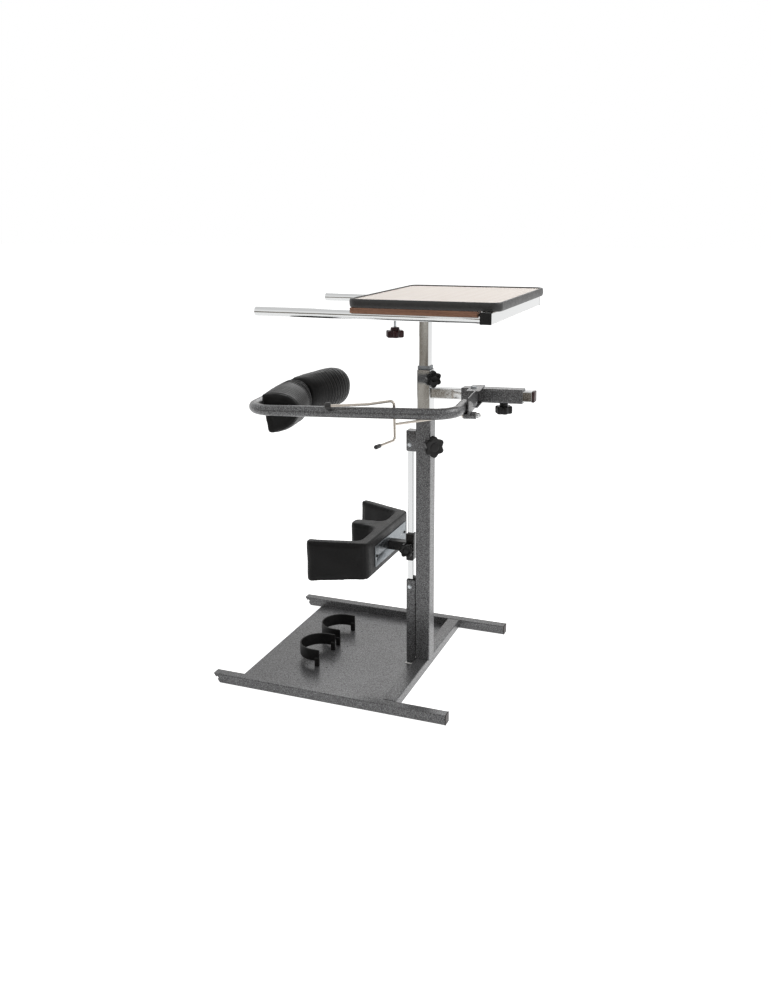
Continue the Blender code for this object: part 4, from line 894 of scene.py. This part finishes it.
# %% Release lever
ROD = 0.0036
BEARING_X = (-0.0105, 0.0245)
LEVER_POST = np.array((-0.1735, -0.2205, 0.0))
LEVER_TOP, LEVER_LOW, LEVER_JOIN = 0.025, -0.0806, -0.0385
UPPER_KINK = np.array((-0.2400, -0.2368, 0.0170))
UPPER_END = np.array((-0.3425, -0.2620, 0.0150))
LOWER_END = np.array((-0.1987, -0.3017, -0.0806))
pivot = np.array(BEARING)
lever_low, lever_top, lever_join = (LEVER_POST + (0, 0, height) - pivot
                                    for height in (LEVER_LOW, LEVER_TOP, LEVER_JOIN))
upper_end, lower_end, lever_kink = (point - pivot for point in (UPPER_END, LOWER_END, UPPER_KINK))
shaft_ends = [(BEARING_X[1] + 0.0135, 0, 0), (BEARING_X[0] - 0.012, 0, 0)]
shaft_path = bent_path([*shaft_ends, lever_join], (0.012,), 10)
handle_path = bent_path([upper_end, lever_kink, lever_top, lever_low, lower_end], (0.020, 0.010, 0.010), 12)
for name, path, stands_for in (("lever_shaft", shaft_path, ()),
                               ("lever_handle", handle_path, ("release_lever",))):
    round_bar(name, moved(path, LEVER_FRAME), ROD, NICKEL, "lever", stands_for, sides=24)
collar = turned_grid(rod_profile(0.0075, 0.0032, 0.0005), (BEARING_X[0] - 0.0035, 0, 0), (1, 0, 0))
closed_piece("lever_collar", collar, LEVER_FRAME, NICKEL, "lever")


def dome_profile(radius, length, bore, depth):
    """A domed cap: a blind bore of this depth at its open end, and a round closed end."""
    bend = np.linspace(0, np.pi / 2, 8)
    dome = np.stack([length - radius * 0.55 + radius * 0.55 * np.sin(bend), radius * np.cos(bend) ** 0.6], -1)
    dome[-1, 1] = radius * 0.12
    lip = [(depth, bore), (0.0, bore), (0.0, radius * 0.93), (0.0006, radius)]
    return lip + dome.tolist()


for name, end, corner, radius, length in (("lever_tip_upper", upper_end, lever_kink, 0.010, 0.017),
                                          ("lever_tip_lower", lower_end, lever_low, 0.0058, 0.022)):
    along = (end - corner) / np.linalg.norm(end - corner)
    depth = length * 0.45
    tip = turned_grid(dome_profile(radius, length, ROD + 0.0002, depth), end - along * depth, along)
    closed_piece(name + "_moulded", tip, LEVER_FRAME, RUBBER, "lever", (name,))

bearing_path = moved(straight_path((BEARING_X[0], 0, 0), (BEARING_X[1], 0, 0)), LEVER_FRAME)
round_bar("lever_bearing_drawn", bearing_path, 0.010, ENAMEL, "hoop", ("lever_bearing",), wall=0.0062)
print("lever rods meet", round(float(np.linalg.norm(lever_join - lever_low)), 4), "m above the lower bend")

# %% [markdown]
# Bolts, nuts and screws: a hexagon whose corners are cut by a cone, as a lathe leaves them.
# The hexagon's radius at angle a is half its width over cos of the angle to the nearest flat,
# and the cone caps it, which draws the curved line on each flat.

# %% Fasteners
HINGE_HALF = 0.0236
HINGE_HEX = 0.0072
NUT_X = BEARING_X[1]


def hexagon_head(half_width, height, start, along):
    """A hexagon head: a flat face of the inscribed circle, then a 30 degree cone, on a six-sided body."""
    face, over = 0.94 * half_width, 1.16 * half_width
    slope = (over - face) * math.tan(math.radians(30.0))
    profile = [(0.0, face), (slope, over), (height - slope, over), (height, face)]
    return turned_grid(profile, start, along, 72, half_width)


def fastener(node, place, start, along, shank, length, half_width, head, washer):
    """A hexagon bolt in place of a solid: head and washer before the start, shank after it."""
    along = Vector(along).normalized()
    start = Vector(start)
    rod = turned_grid(rod_profile(shank, length + head / 2, 0.0006), start - along * head / 2, along, 24)
    crown = hexagon_head(half_width, head, start - along * (head + washer), along)
    rod_mesh, crown_mesh = (grid_mesh(node, moved(grid, place), capped=True) for grid in (rod, crown))
    mesh = combined(rod_mesh, crown_mesh, "UNION")
    finish_shading(mesh, 32.0)
    place_piece(node + "_turned", mesh, ZINC, BODY_OF[node], (node,))
    ring = turned_grid(rod_profile(1.35 * half_width, washer, 0.0002), start - along * washer, along)
    closed_piece(node + "_washer", ring, place, ZINC, BODY_OF[node])


KNEE_RAIL_X = -0.043
for end, height in (("top", 0.711), ("low", 0.263)):
    fastener("knee_rail_bolt_" + end, STAND_FRAME, (KNEE_RAIL_X, -0.0153, height), (0, 1, 0), 0.003, 0.0343,
             0.0048, 0.0035, 0.0004)
fastener("hinge_bolt", HOOP_FRAME, (0, 0, HINGE_HALF), (0, 0, -1), 0.0045, 0.0529, HINGE_HEX, 0.0045, 0.0005)
lock_nut = hexagon_head(HINGE_HEX, 0.0050, (0, 0, -HINGE_HALF), (0, 0, -1))
closed_piece("hinge_lock_nut", lock_nut, HOOP_FRAME, ZINC, "hoop")
nut = hexagon_head(0.0062, 0.0070, (NUT_X + 0.0020, 0, 0), (1, 0, 0))
washer = turned_grid([(0.0, 0.0050), (0.0, 0.0072), (0.0014, 0.0072), (0.0016, 0.0050)],
                     (NUT_X + 0.0003, 0, 0), (1, 0, 0))
dome = turned_grid(dome_profile(0.0054, 0.0045, 0.004, 0.0004), (NUT_X + 0.0088, 0, 0), (1, 0, 0))
for name, grid, stands_for in (("lever_nut_turned", nut, ("lever_nut",)), ("lever_nut_washer", washer, ()),
                               ("lever_nut_dome", dome, ())):
    closed_piece(name, grid, LEVER_FRAME, CHROME, "lever", stands_for)
for number in range(1, 5):
    node = "heel_cup_screw_" + str(number)
    low, high, middle = corners_of(node)
    profile = [(0.0, 0.0046), (0.0004, 0.0048), (0.0024, 0.0025), (0.0028, 0.0024),
               (high[2] - low[2], 0.0022)]
    screw = turned_grid(profile, (middle[0], middle[1], low[2]), (0, 0, 1))
    closed_piece(node + "_turned", screw, STAND_FRAME, ZINC, "stand", (node,))
for side in ("near", "far"):
    node = "knee_plate_screw_" + side
    low, high, middle = corners_of(node)
    length = high[0] - low[0]
    head = length - 0.0027
    profile = [(0.0, 0.0020), (0.0004, 0.0024), (head, 0.0024), (head, 0.0044), (head + 0.0008, 0.0045),
               (head + 0.0020, 0.0036), (length, 0.0012)]
    screw = turned_grid(profile, (low[0], middle[1], middle[2]), (1, 0, 0))
    closed_piece(node + "_turned", screw, STAND_FRAME, NYLON, "knee_support", (node,))
print("fasteners turned")

# %% [markdown]
# The star knobs are moulded phenolic with six lobes. A knob is a stack of outlines: a round hub,
# the lobed head with rounded shoulders, and a shallow dish on top with a round centre. Each outline
# has its height, its radius and how strongly the lobes show in it.

# %% Star knobs
LOBES = 6
LOBE_DEPTH = 0.21
DISH = ((0.0006, 0.66, 0.55), (0.0016, 0.52, 0.15), (0.0018, 0.44, 0.0), (0.0006, 0.40, 0.0),
        (0.0002, 0.34, 0.0), (0.0, 0.20, 0.0), (0.0, 0.03, 0.0))
BOSS_PROFILE = ((-0.0003, 0.0042), (-0.0003, 0.0090), (0.0004, 0.0090), (0.0012, 0.0089), (0.0015, 0.0084),
                (0.0015, 0.0045), (0.0008, 0.0042))


def knob_grid(radius, thickness, standoff, hub_low, sides=168):
    """Outlines of a star knob from the hub's foot to the middle of its top.

    Radius at angle a: size * (1 - depth * strength * ((1 - cos(6 a)) / 2) ** 1.2). The power makes the lobes
    broad and blunt and the valleys narrow.
    """
    angle = np.linspace(0, 2 * np.pi, sides, endpoint=False)
    valley = ((1 - np.cos(LOBES * angle)) / 2) ** 1.2
    top = standoff + thickness
    shoulder = 0.14 * thickness + 0.0012
    arc = [(shoulder * (1 - math.sin(bend)), radius - shoulder + shoulder * math.cos(bend), 1.0)
           for bend in np.linspace(0, np.pi / 2, 6)]
    hub = 0.46 * radius
    rows = [(hub_low, hub * 0.90, 0.0), (hub_low + 0.0006, hub, 0.0), (standoff - 0.0002, hub * 1.08, 0.0),
            (standoff, hub * 1.2, 0.1), (standoff + 0.0002, 0.70 * radius, 0.7)]
    rows += [(standoff + drop, size, strength) for drop, size, strength in reversed(arc)]
    rows += [(top - drop, size, strength) for drop, size, strength in arc]
    rows += [(top - drop, share * radius, strength) for drop, share, strength in DISH]
    rows = np.array(rows)
    size = rows[:, 1:2] * (1 - LOBE_DEPTH * rows[:, 2:] * valley[None])
    return np.stack([size * np.cos(angle), size * np.sin(angle), np.repeat(rows[:, :1], sides, 1)], -1)


def add_knob(node, material, slot, radius, thickness, standoff, reach, place):
    """A knob with its zinc-plated stud, in place of a solid. Its own +Z points away from the clamped face."""
    knob = knob_grid(radius, thickness, standoff, max(BOSS + 0.0003, standoff - 0.009))
    closed_piece(node + "_moulded", knob, place, material, node, (node,))
    stud = turned_grid(rod_profile(0.004, reach + standoff, 0.0005), (0, 0, -reach), (0, 0, 1), 28)
    closed_piece(node + "_stud", stud, place, ZINC, node)


def add_boss(name, place, body, on_corner, material=ENAMEL):
    """The round welded boss that a knob's stud screws into.

    On a tube's corner its foot follows the two walls: depth = across - 0.9 mm, where across is the distance
    from the corner's line.
    """
    boss = turned_grid(BOSS_PROFILE, (0, 0, 0), (0, 0, 1))
    if on_corner:
        boss[:2, :, 2] -= np.maximum(np.abs(boss[:2, :, 1]) - 0.0009, 0)
    closed_piece(name, boss, place, material, body)


TO_CORNER = Matrix.Rotation(-math.pi / 4, 4, "Z") @ Matrix.Rotation(math.pi / 2, 4, "Y")
TO_NEAR_SIDE = Matrix.Rotation(math.pi / 2, 4, "X")
DOWNWARDS = Matrix.Rotation(math.pi, 4, "X")
column_face = Matrix.Translation((0.0191, -0.0191, 0.717)) @ TO_CORNER
mast_face = Matrix.Translation((0.0166, -0.0166, 0.912)) @ TO_CORNER
sleeve_face = ARM_FRAME @ Matrix.Translation((0.2325, 0, -0.020)) @ DOWNWARDS
knee_face = Matrix.Translation((KNEE_RAIL_X, -0.018, 0.391)) @ TO_NEAR_SIDE
table_face = Matrix.Translation((-0.0925, 0, 1.0865)) @ DOWNWARDS
KNOBS = (
    ("column_knob", PHENOLIC, "black_plastic", 0.0318, 0.0180, 0.0210, 0.0032, column_face),
    ("mast_knob", PHENOLIC, "black_plastic", 0.0250, 0.0160, 0.0180, 0.0032, mast_face),
    ("sleeve_knob", PHENOLIC, "black_plastic", 0.0245, 0.0220, 0.0095, 0.0047, sleeve_face),
    ("knee_knob", PHENOLIC, "black_plastic", 0.0220, 0.0180, 0.0160, 0.0089, knee_face),
    ("table_knob", MAROON, "maroon_plastic", 0.0268, 0.0200, 0.0460, 0.0047, table_face),
)
for knob in KNOBS:
    add_knob(*knob)
add_boss("column_boss", column_face, "stand", True)
add_boss("mast_boss", mast_face, "mast", True, CHROME)
add_boss("sleeve_boss", sleeve_face, "sleeve", False)
add_boss("carriage_boss", table_face, "table_post", False)
print(len(KNOBS), "knobs of", LOBES, "lobes")

# %% [markdown]
# The table's edge is an extruded strip that is knocked on round the board. Its outer face bulges, and a lip
# laps over the laminate and stands a little proud of it, so that a pencil doesn't roll off. The strip's
# section is carried round the board's outline, a rectangle with round corners, and closes both ways.
# The board itself is a stack of the same outline.

# %% Table board and edging
EDGE_CORNER = 0.028
EDGE_THICKNESS = 0.003
LIP = 0.0070
BULGE = 0.0048
BOARD_HALF = 0.25


def edging_section(low, high, board_top, thickness):
    """The strip's section, as (outwards, up) from the rim: a bulging face, a lip over the board, a back."""
    swell = np.linspace(-np.pi / 2, np.pi / 2, 17)
    rise = (low + high) / 2 + (high - low) / 2 * np.sin(swell)
    face = np.stack([-BULGE + BULGE * np.cos(swell) ** 0.62, rise], -1)
    lip = [(-LIP + 0.0010, high), (-LIP, high - 0.0010), (-LIP, board_top), (-thickness, board_top),
           (-thickness, low + 0.0006)]
    return np.concatenate([face, lip])


edge_low, edge_high, edge_middle = corners_of("table_edging")
board_low, board_high, board_middle = corners_of("table_board")
rim = rounded_rectangle(*(edge_high - edge_low)[:2], EDGE_CORNER, 18)
rim_path = level_ring(rim, edge_middle[:2], 0)
section = edging_section(edge_low[2], edge_high[2], board_high[2] + 0.0001, EDGE_THICKNESS)
outward = frames_along(rim_path, closed=True, up=(0, 0, 1))[1]
strip = swept(rim_path, section, outward, (0, 0, 1))
edging = grid_mesh("edging", strip, loops=(True, True))
place_piece("table_edging_strip", edging, RUBBER, "table", ("table_edging",), flat_sides=True)
board_rim = rounded_rectangle(*(board_high - board_low)[:2], EDGE_CORNER - EDGE_THICKNESS, 18)
levels = ((board_low[2], 0.0003), (board_low[2] + 0.0003, 0.0), (board_high[2], 0.0))
board = np.stack([level_ring(board_rim * (1 - inset / BOARD_HALF), board_middle[:2], height)
                  for height, inset in levels])
closed_piece("table_board_pressed", board, STAND_FRAME, LAMINATE, "table", ("table_board",),
             flat_sides=True)
print("edging is", round(float(np.linalg.norm(np.diff(rim_path, axis=0), axis=1).sum()), 3), "m long")

# %% [markdown]
# Each heel cup is a moulded band bent round the heel, with a foot under both ends. The band's section
# is a tall rounded strip that is carried round a U: a straight arm, half a circle, and the other arm.

# %% Heel cups
CUP_X, CUP_RADIUS, CUP_BAND = -0.327, 0.061, 0.0045
CUP_ARM_END, CUP_LOW, CUP_HIGH = -0.302, 0.020, 0.058
FOOT_LENGTH, FOOT_HALF, FOOT_LOW = 0.015, 0.005, 0.0033
CUP_TAPER = 0.0012
FOOT_RINGS = ((FOOT_LOW, 0.0006), (FOOT_LOW + 0.0006, 0.0), (CUP_LOW + 0.0095, 0.0),
              (CUP_LOW + 0.0120, 0.0025))


def cup_mesh(name, y):
    """A U-shaped band, thinned at its ends, with a rounded foot under each arm."""
    angle = np.linspace(np.pi / 2, 3 * np.pi / 2, 49)
    bend = np.stack([CUP_X + CUP_RADIUS * np.cos(angle), y + CUP_RADIUS * np.sin(angle)], -1)
    arms = [(CUP_ARM_END - back, y + side * CUP_RADIUS)
            for side, back in ((1, 0.0), (1, CUP_TAPER), (-1, CUP_TAPER), (-1, 0.0))]
    path = level_ring(np.vstack([arms[:2], bend, arms[2:]]), (0, 0), (CUP_LOW + CUP_HIGH) / 2)
    section = rounded_rectangle(CUP_BAND, CUP_HIGH - CUP_LOW, 0.0014, 5)
    size = np.ones((len(path), 1, 2))
    size[[0, -1], :, 0] = 1 - CUP_TAPER / CUP_BAND
    band = swept(path, section * size, *frames_along(path, up=(0, 0, 1))[1:])
    mesh = grid_mesh(name, band, capped=True)
    foot_size = np.array((FOOT_LENGTH, 2 * FOOT_HALF))
    outline = rounded_rectangle(FOOT_LENGTH - 0.0004, 2 * FOOT_HALF, 0.0025, 5)
    for sign in (-1, 1):
        centre = (CUP_ARM_END - FOOT_LENGTH / 2, y + sign * CUP_RADIUS)
        foot = np.stack([level_ring(outline * (1 - 2 * inset / foot_size), centre, height)
                         for height, inset in FOOT_RINGS])
        mesh = combined(mesh, grid_mesh("foot", foot, capped=True), "UNION")
    finish_shading(mesh, 38.0)
    return mesh


for side in ("near", "far"):
    name = "heel_cup_" + side
    y = corners_of(name)[2][1]
    place_piece(name + "_moulded", cup_mesh(name, y), NYLON, "stand", (name,))
print("heel cups", round(2 * CUP_RADIUS * 1000), "mm wide")

# %% [markdown]
# The hinge barrel is a short thick tube on the sleeve's near side, with a web between them. Both are
# enamelled with the sleeve. The clamping bolt of the hoop turns in it.

# %% Hinge barrel
BARREL_RADIUS, BARREL_HALF, BARREL_WALL = 0.0098, 0.0200, 0.005
WEB_THICKNESS, WEB_Y, WEB_HALF = 0.010, -0.0242, 0.016
barrel_path = moved(straight_path((*HINGE[:2], -BARREL_HALF), (*HINGE[:2], BARREL_HALF)), ARM_FRAME)
round_bar("hinge_barrel", barrel_path, BARREL_RADIUS, ENAMEL, "sleeve", wall=BARREL_WALL)
web_outline = rounded_rectangle(2 * BARREL_RADIUS, WEB_THICKNESS, 0.001, 3)
web = np.stack([level_ring(web_outline, (HINGE[0], WEB_Y), height) for height in (-WEB_HALF, WEB_HALF)])
closed_piece("barrel_web", web, ARM_FRAME, ENAMEL, "sleeve", flat_sides=True)

# %% [markdown]
# Welds are what tell a fabricated frame from a toy. The welder moves on by a few millimetres for each puddle,
# so a bead is a round section whose size rises and falls once a step, with some unevenness.
# The beads sit in the corners between the parts and wear the same enamel. The two at the feet of the posts
# wear a brighter zinc-grey metal, a painted highlight that stands for the glints along them.

# %% Welds
PUDDLE = 4.2 * MM
noise = np.random.default_rng(7)


def weld_bead(name, corners, radius, body, closed=False, place=STAND_FRAME, material=ENAMEL):
    """A bead along straight runs between corners: radius * (1 + 0.14 sin(2 pi s / puddle) + unevenness)."""
    corners = np.array(corners, float)
    if closed:
        corners = np.vstack([corners, corners[:1]])
    lengths = np.concatenate([[0], np.cumsum(np.linalg.norm(np.diff(corners, axis=0), axis=1))])
    count = max(8, int(lengths[-1] / PUDDLE * 7))
    run = np.linspace(0, lengths[-1], count, endpoint=not closed)
    path = np.stack([np.interp(run, lengths, corners[:, axis]) for axis in range(3)], -1)
    _, side, lift = frames_along(path, closed)
    ripple = 1 + 0.14 * np.sin(2 * np.pi * run / PUDDLE) + 0.06 * noise.standard_normal(count)
    if not closed:
        ripple *= np.clip(np.minimum(run, run[-1] - run) / (1.5 * PUDDLE) + 0.45, 0, 1)
    grid = swept(path, circle(12) * (radius * ripple)[:, None, None], side, lift)
    mesh = grid_mesh(name, moved(grid, place), loops=(closed, True), capped=not closed, sharp=80.0)
    place_piece(name, mesh, material, body)


RAIL_INNER = 0.3015
CROSS_HALF, RAIL_TOP, PLATE_TOP = 0.020, 0.030, 0.0032
BRACKET_X, BRACKET_SPAN = -0.0206, (0.694, 0.7505)
COLUMN_FOOT, ARM_ROOT = 0.0208, 0.0152
POST_HALF, POST_FOOT = 0.0155, 0.0040
TACK_HALF = 0.020
weld_bead("column_foot_weld", [(x * COLUMN_FOOT, y * COLUMN_FOOT, 0.0310) for x, y in SQUARE], 0.0024,
          "stand", closed=True, material=GLINT_METAL)
post_low, post_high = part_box("knee_post")
post_back = post_low.x - 0.0005
weld_bead("knee_post_foot_weld", [(post_high.x, -POST_HALF, POST_FOOT), (post_back, -POST_HALF, POST_FOOT),
                                  (post_back, POST_HALF, POST_FOOT), (post_high.x, POST_HALF, POST_FOOT)],
          0.0026, "stand", material=GLINT_METAL)
for side, y in (("near", -0.0150), ("far", 0.0150)):
    weld_bead("bracket_weld_" + side, [(BRACKET_X, y, z) for z in BRACKET_SPAN], 0.0012, "stand")
weld_bead("arm_weld", [(0.0180, y * ARM_ROOT, z * ARM_ROOT) for y, z in SQUARE], 0.0013, "mast", closed=True,
          place=ARM_FRAME, material=CHROME)
for side, sign in (("near", -1), ("far", 1)):
    y = sign * RAIL_INNER
    weld_bead("crossbar_weld_" + side, [(x, y, RAIL_TOP) for x in (-CROSS_HALF, CROSS_HALF)], 0.0013, "stand")
    weld_bead("crossbar_weld_side_" + side, [(CROSS_HALF, y, z) for z in (RAIL_TOP, 0.002)], 0.0013, "stand")
    for number, centre in enumerate((-0.455, -0.330, -0.205, -0.080)):
        tack = [(centre + x, y, PLATE_TOP) for x in (-TACK_HALF, TACK_HALF)]
        weld_bead("plate_weld_%s_%d" % (side, number), tack, 0.0014, "stand")
for name, height in (("low", -0.0155), ("top", 0.0155)):
    weld_bead("barrel_weld_" + name, [(HINGE[0] + x, -0.0205, height) for x in (-0.0095, 0.0095)], 0.0013,
              "sleeve", place=ARM_FRAME)
weld_bead("hoop_weld_top", [(0.0098, y, 0.0040) for y in (-0.100, -0.150)], 0.0015, "hoop", place=HOOP_FRAME)
weld_bead("bearing_weld", [(x, -0.1115, -0.0262) for x in (-0.0085, 0.0115)], 0.0014, "hoop",
          place=HOOP_FRAME)
weld_bead("lever_weld", [lever_join + (-0.0030, 0.0026, z) for z in (0.0030, -0.0030)], 0.0012, "lever",
          place=LEVER_FRAME, material=CHROME)
print("welds laid, a puddle every", round(PUDDLE * 1000, 1), "mm")

# %% [markdown]
# The pads are foam blocks covered in leathercloth, stretched and stapled to a board at the back. The cover
# makes the foam bulge between its edges. Blender's cloth with a little pressure inside does the same: the
# solid is remeshed to even squares, softened, set in or out by up to 2.5 mm, and blown up for twenty frames.
# No point may go further than a few millimetres. The back is held flat, because it is screwed down.

# %% Pads: the simulation
VOXEL = 0.0045


def rows_of(values, key):
    """One attribute of every element, as rows of three."""
    rows = np.empty(len(values) * 3, np.float32)
    values.foreach_get(key, rows)
    return rows.reshape(-1, 3).astype(float)


def points_of(mesh):
    """The mesh's points."""
    return rows_of(mesh.vertices, "co")


def normals_of(mesh):
    """The mesh's point normals."""
    return rows_of(mesh.vertex_normals, "vector")


def set_points(mesh, points):
    """Writes the points back into the mesh."""
    mesh.vertices.foreach_set("co", points.astype(np.float32).ravel())
    mesh.update()


def foam_start(node, shrink, rounds):
    """A merged, evenly remeshed copy of a pad's solid, softened in rounds and drawn in by shrink.

    A negative shrink draws it outwards.
    """
    block = linked("foam", merged_copy(node, "_foam"))
    remesh = block.modifiers.new("even_squares", "REMESH")
    remesh.mode = "VOXEL"
    remesh.voxel_size = VOXEL
    soften = block.modifiers.new("soft_edges", "SMOOTH")
    soften.factor = 0.5
    soften.iterations = rounds
    even = evaluated_mesh(block)
    bpy.data.objects.remove(block)
    set_points(even, points_of(even) - normals_of(even) * shrink)
    return even


def swell(mesh, limit, hold):
    """Blows the cover up, keeps the outward part of each point's way and caps it.

    hold is 0 where a point stays and 1 where it is free.
    """
    start = points_of(mesh)
    cover = linked("cover", mesh.copy())
    cloth = cover.modifiers.new("cover", "CLOTH")
    cloth.settings.quality = 6
    cloth.settings.mass = 0.25
    cloth.settings.tension_stiffness = 18.0
    cloth.settings.compression_stiffness = 18.0
    cloth.settings.bending_stiffness = 1.2
    cloth.settings.use_pressure = True
    cloth.settings.uniform_pressure_force = 4.0
    cloth.settings.effector_weights.gravity = 0.0
    for number in range(1, 21):
        bpy.context.scene.frame_set(number)
    blown = evaluated_mesh(cover)
    outward = normals_of(mesh)
    rise = np.sum((points_of(blown) - start) * outward, axis=1)
    way = outward * (np.clip(rise, 0.0, limit) * hold)[:, None]
    set_points(mesh, start + way)
    bpy.data.objects.remove(cover)
    bpy.context.scene.frame_set(1)
    print("cover swells by", round(float(np.linalg.norm(way, axis=1).max()) * 1000, 1), "mm at most")


def subdivided(mesh, levels=1):
    """The mesh with each square made four, and smoothed, once for each level."""
    holder = linked("holder", mesh)
    finer = holder.modifiers.new("finer", "SUBSURF")
    finer.levels = levels
    finer.render_levels = levels
    result = evaluated_mesh(holder)
    bpy.data.objects.remove(holder)
    return result


def place_pad(name, node, mesh, body):
    """Puts a finished pad in place of its solid, and prints how many faces it has."""
    mesh.shade_smooth()
    piece = place_piece(name, mesh, VINYL, body, (node,))
    print(name, len(mesh.polygons), "faces")
    return piece


# %% [markdown]
# The hip pads are sleeves of leathercloth pulled over foam. The sleeve is a little long, so it gathers into
# upright ribs, deep where the two pads meet and faint elsewhere. A gather is round on top with a sharp
# valley, as |sin| is. The outer end is a separate flat panel with a seam round it.

# %% Hip pads
to_hoop = HOOP_FRAME.inverted()


def pad_coordinates(points, origin, heading):
    """Each point's place along its stretch of hoop, and its depth and height from the pad's back."""
    local = moved(points, to_hoop) - origin
    forward, lean, rise = pad_axes(heading)
    return local @ forward, local @ lean - PAD_STANDOFF, local @ rise


def fade(value, start, end):
    """0 before start, 1 after end, and a smooth step between."""
    share = np.clip((value - start) / (end - start), 0, 1)
    return share * share * (3 - 2 * share)


RIB = 0.0074


def hip_pad(side, shrink, origin, heading, ribs_from, ribs_to, deepest, seam_at):
    """One hip pad: swollen, then ribbed towards one end, with a seam round the other."""
    node = "hip_pad_" + side
    mesh = foam_start(node, shrink, 2)
    _, depth, _ = pad_coordinates(points_of(mesh), origin, heading)
    swell(mesh, 0.0045, fade(depth, 0.002, 0.018))
    mesh = subdivided(mesh, 2)
    points, normals = points_of(mesh), normals_of(mesh)
    along, depth, height = pad_coordinates(points, origin, heading)
    free = fade(depth, 0.004, 0.020)
    crease = np.abs(np.sin(np.pi * (along + 0.0020 * np.sin(height / 0.013)) / RIB)) ** 0.7 - 0.65
    crease += 0.4 * np.sin(2 * np.pi * along / (1.7 * RIB) + height / 0.020)
    step = deepest * (0.12 + 0.88 * fade(along, ribs_from, ribs_to)) * free * crease
    seam = -0.0013 * np.exp(-((along - seam_at) / 0.0016) ** 2) * free
    slow = 0.0009 * np.sin(along / 0.021 + height / 0.034) * np.sin(height / 0.017 + 0.6) * free
    set_points(mesh, points + normals * (step + seam + slow)[:, None])
    return place_pad(node + "_cover", node, mesh, "hoop")


hip_pad("near", -0.0025, rear, 0.0, -0.090, -0.040, 0.0025, -0.196)
hip_pad("far", 0.0008, turn, HOOP_TURN, 0.040, 0.150, 0.0009, 0.192)

# %% [markdown]
# The knee pad is a moulded foam block with two hollows, and a divider between the knees. Its cover is wrapped
# over the front and stapled behind the steel plate, so it stays tight and swells by less than two
# millimetres. A seam runs round it near the back edge.

# %% Knee pad
knee_mesh = foam_start("knee_pad", -0.0010, 7)
knee_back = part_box("knee_pad")[1].x
swell(knee_mesh, 0.0018, fade(knee_back - points_of(knee_mesh)[:, 0], 0.002, 0.020))
knee_mesh = subdivided(knee_mesh)
knee_points = points_of(knee_mesh)
from_back = knee_back - knee_points[:, 0]
wave = np.sin(knee_points[:, 2] / 0.013 + knee_points[:, 0] / 0.031) * np.sin(knee_points[:, 1] / 0.027)
ripple = 0.0005 * wave * fade(from_back, 0.004, 0.030)
seam = -0.0009 * np.exp(-((from_back - 0.0075) / 0.0014) ** 2)
set_points(knee_mesh, knee_points + normals_of(knee_mesh) * (ripple + seam)[:, None])
place_pad("knee_pad_cover", "knee_pad", knee_mesh, "knee_support")

# %% [markdown]
# The last step lists the solids that still show.

# %% Solids that still show
left = sorted(name for name, node in NODES.items() if not node.hide_render)
print("solids that still show:", left)
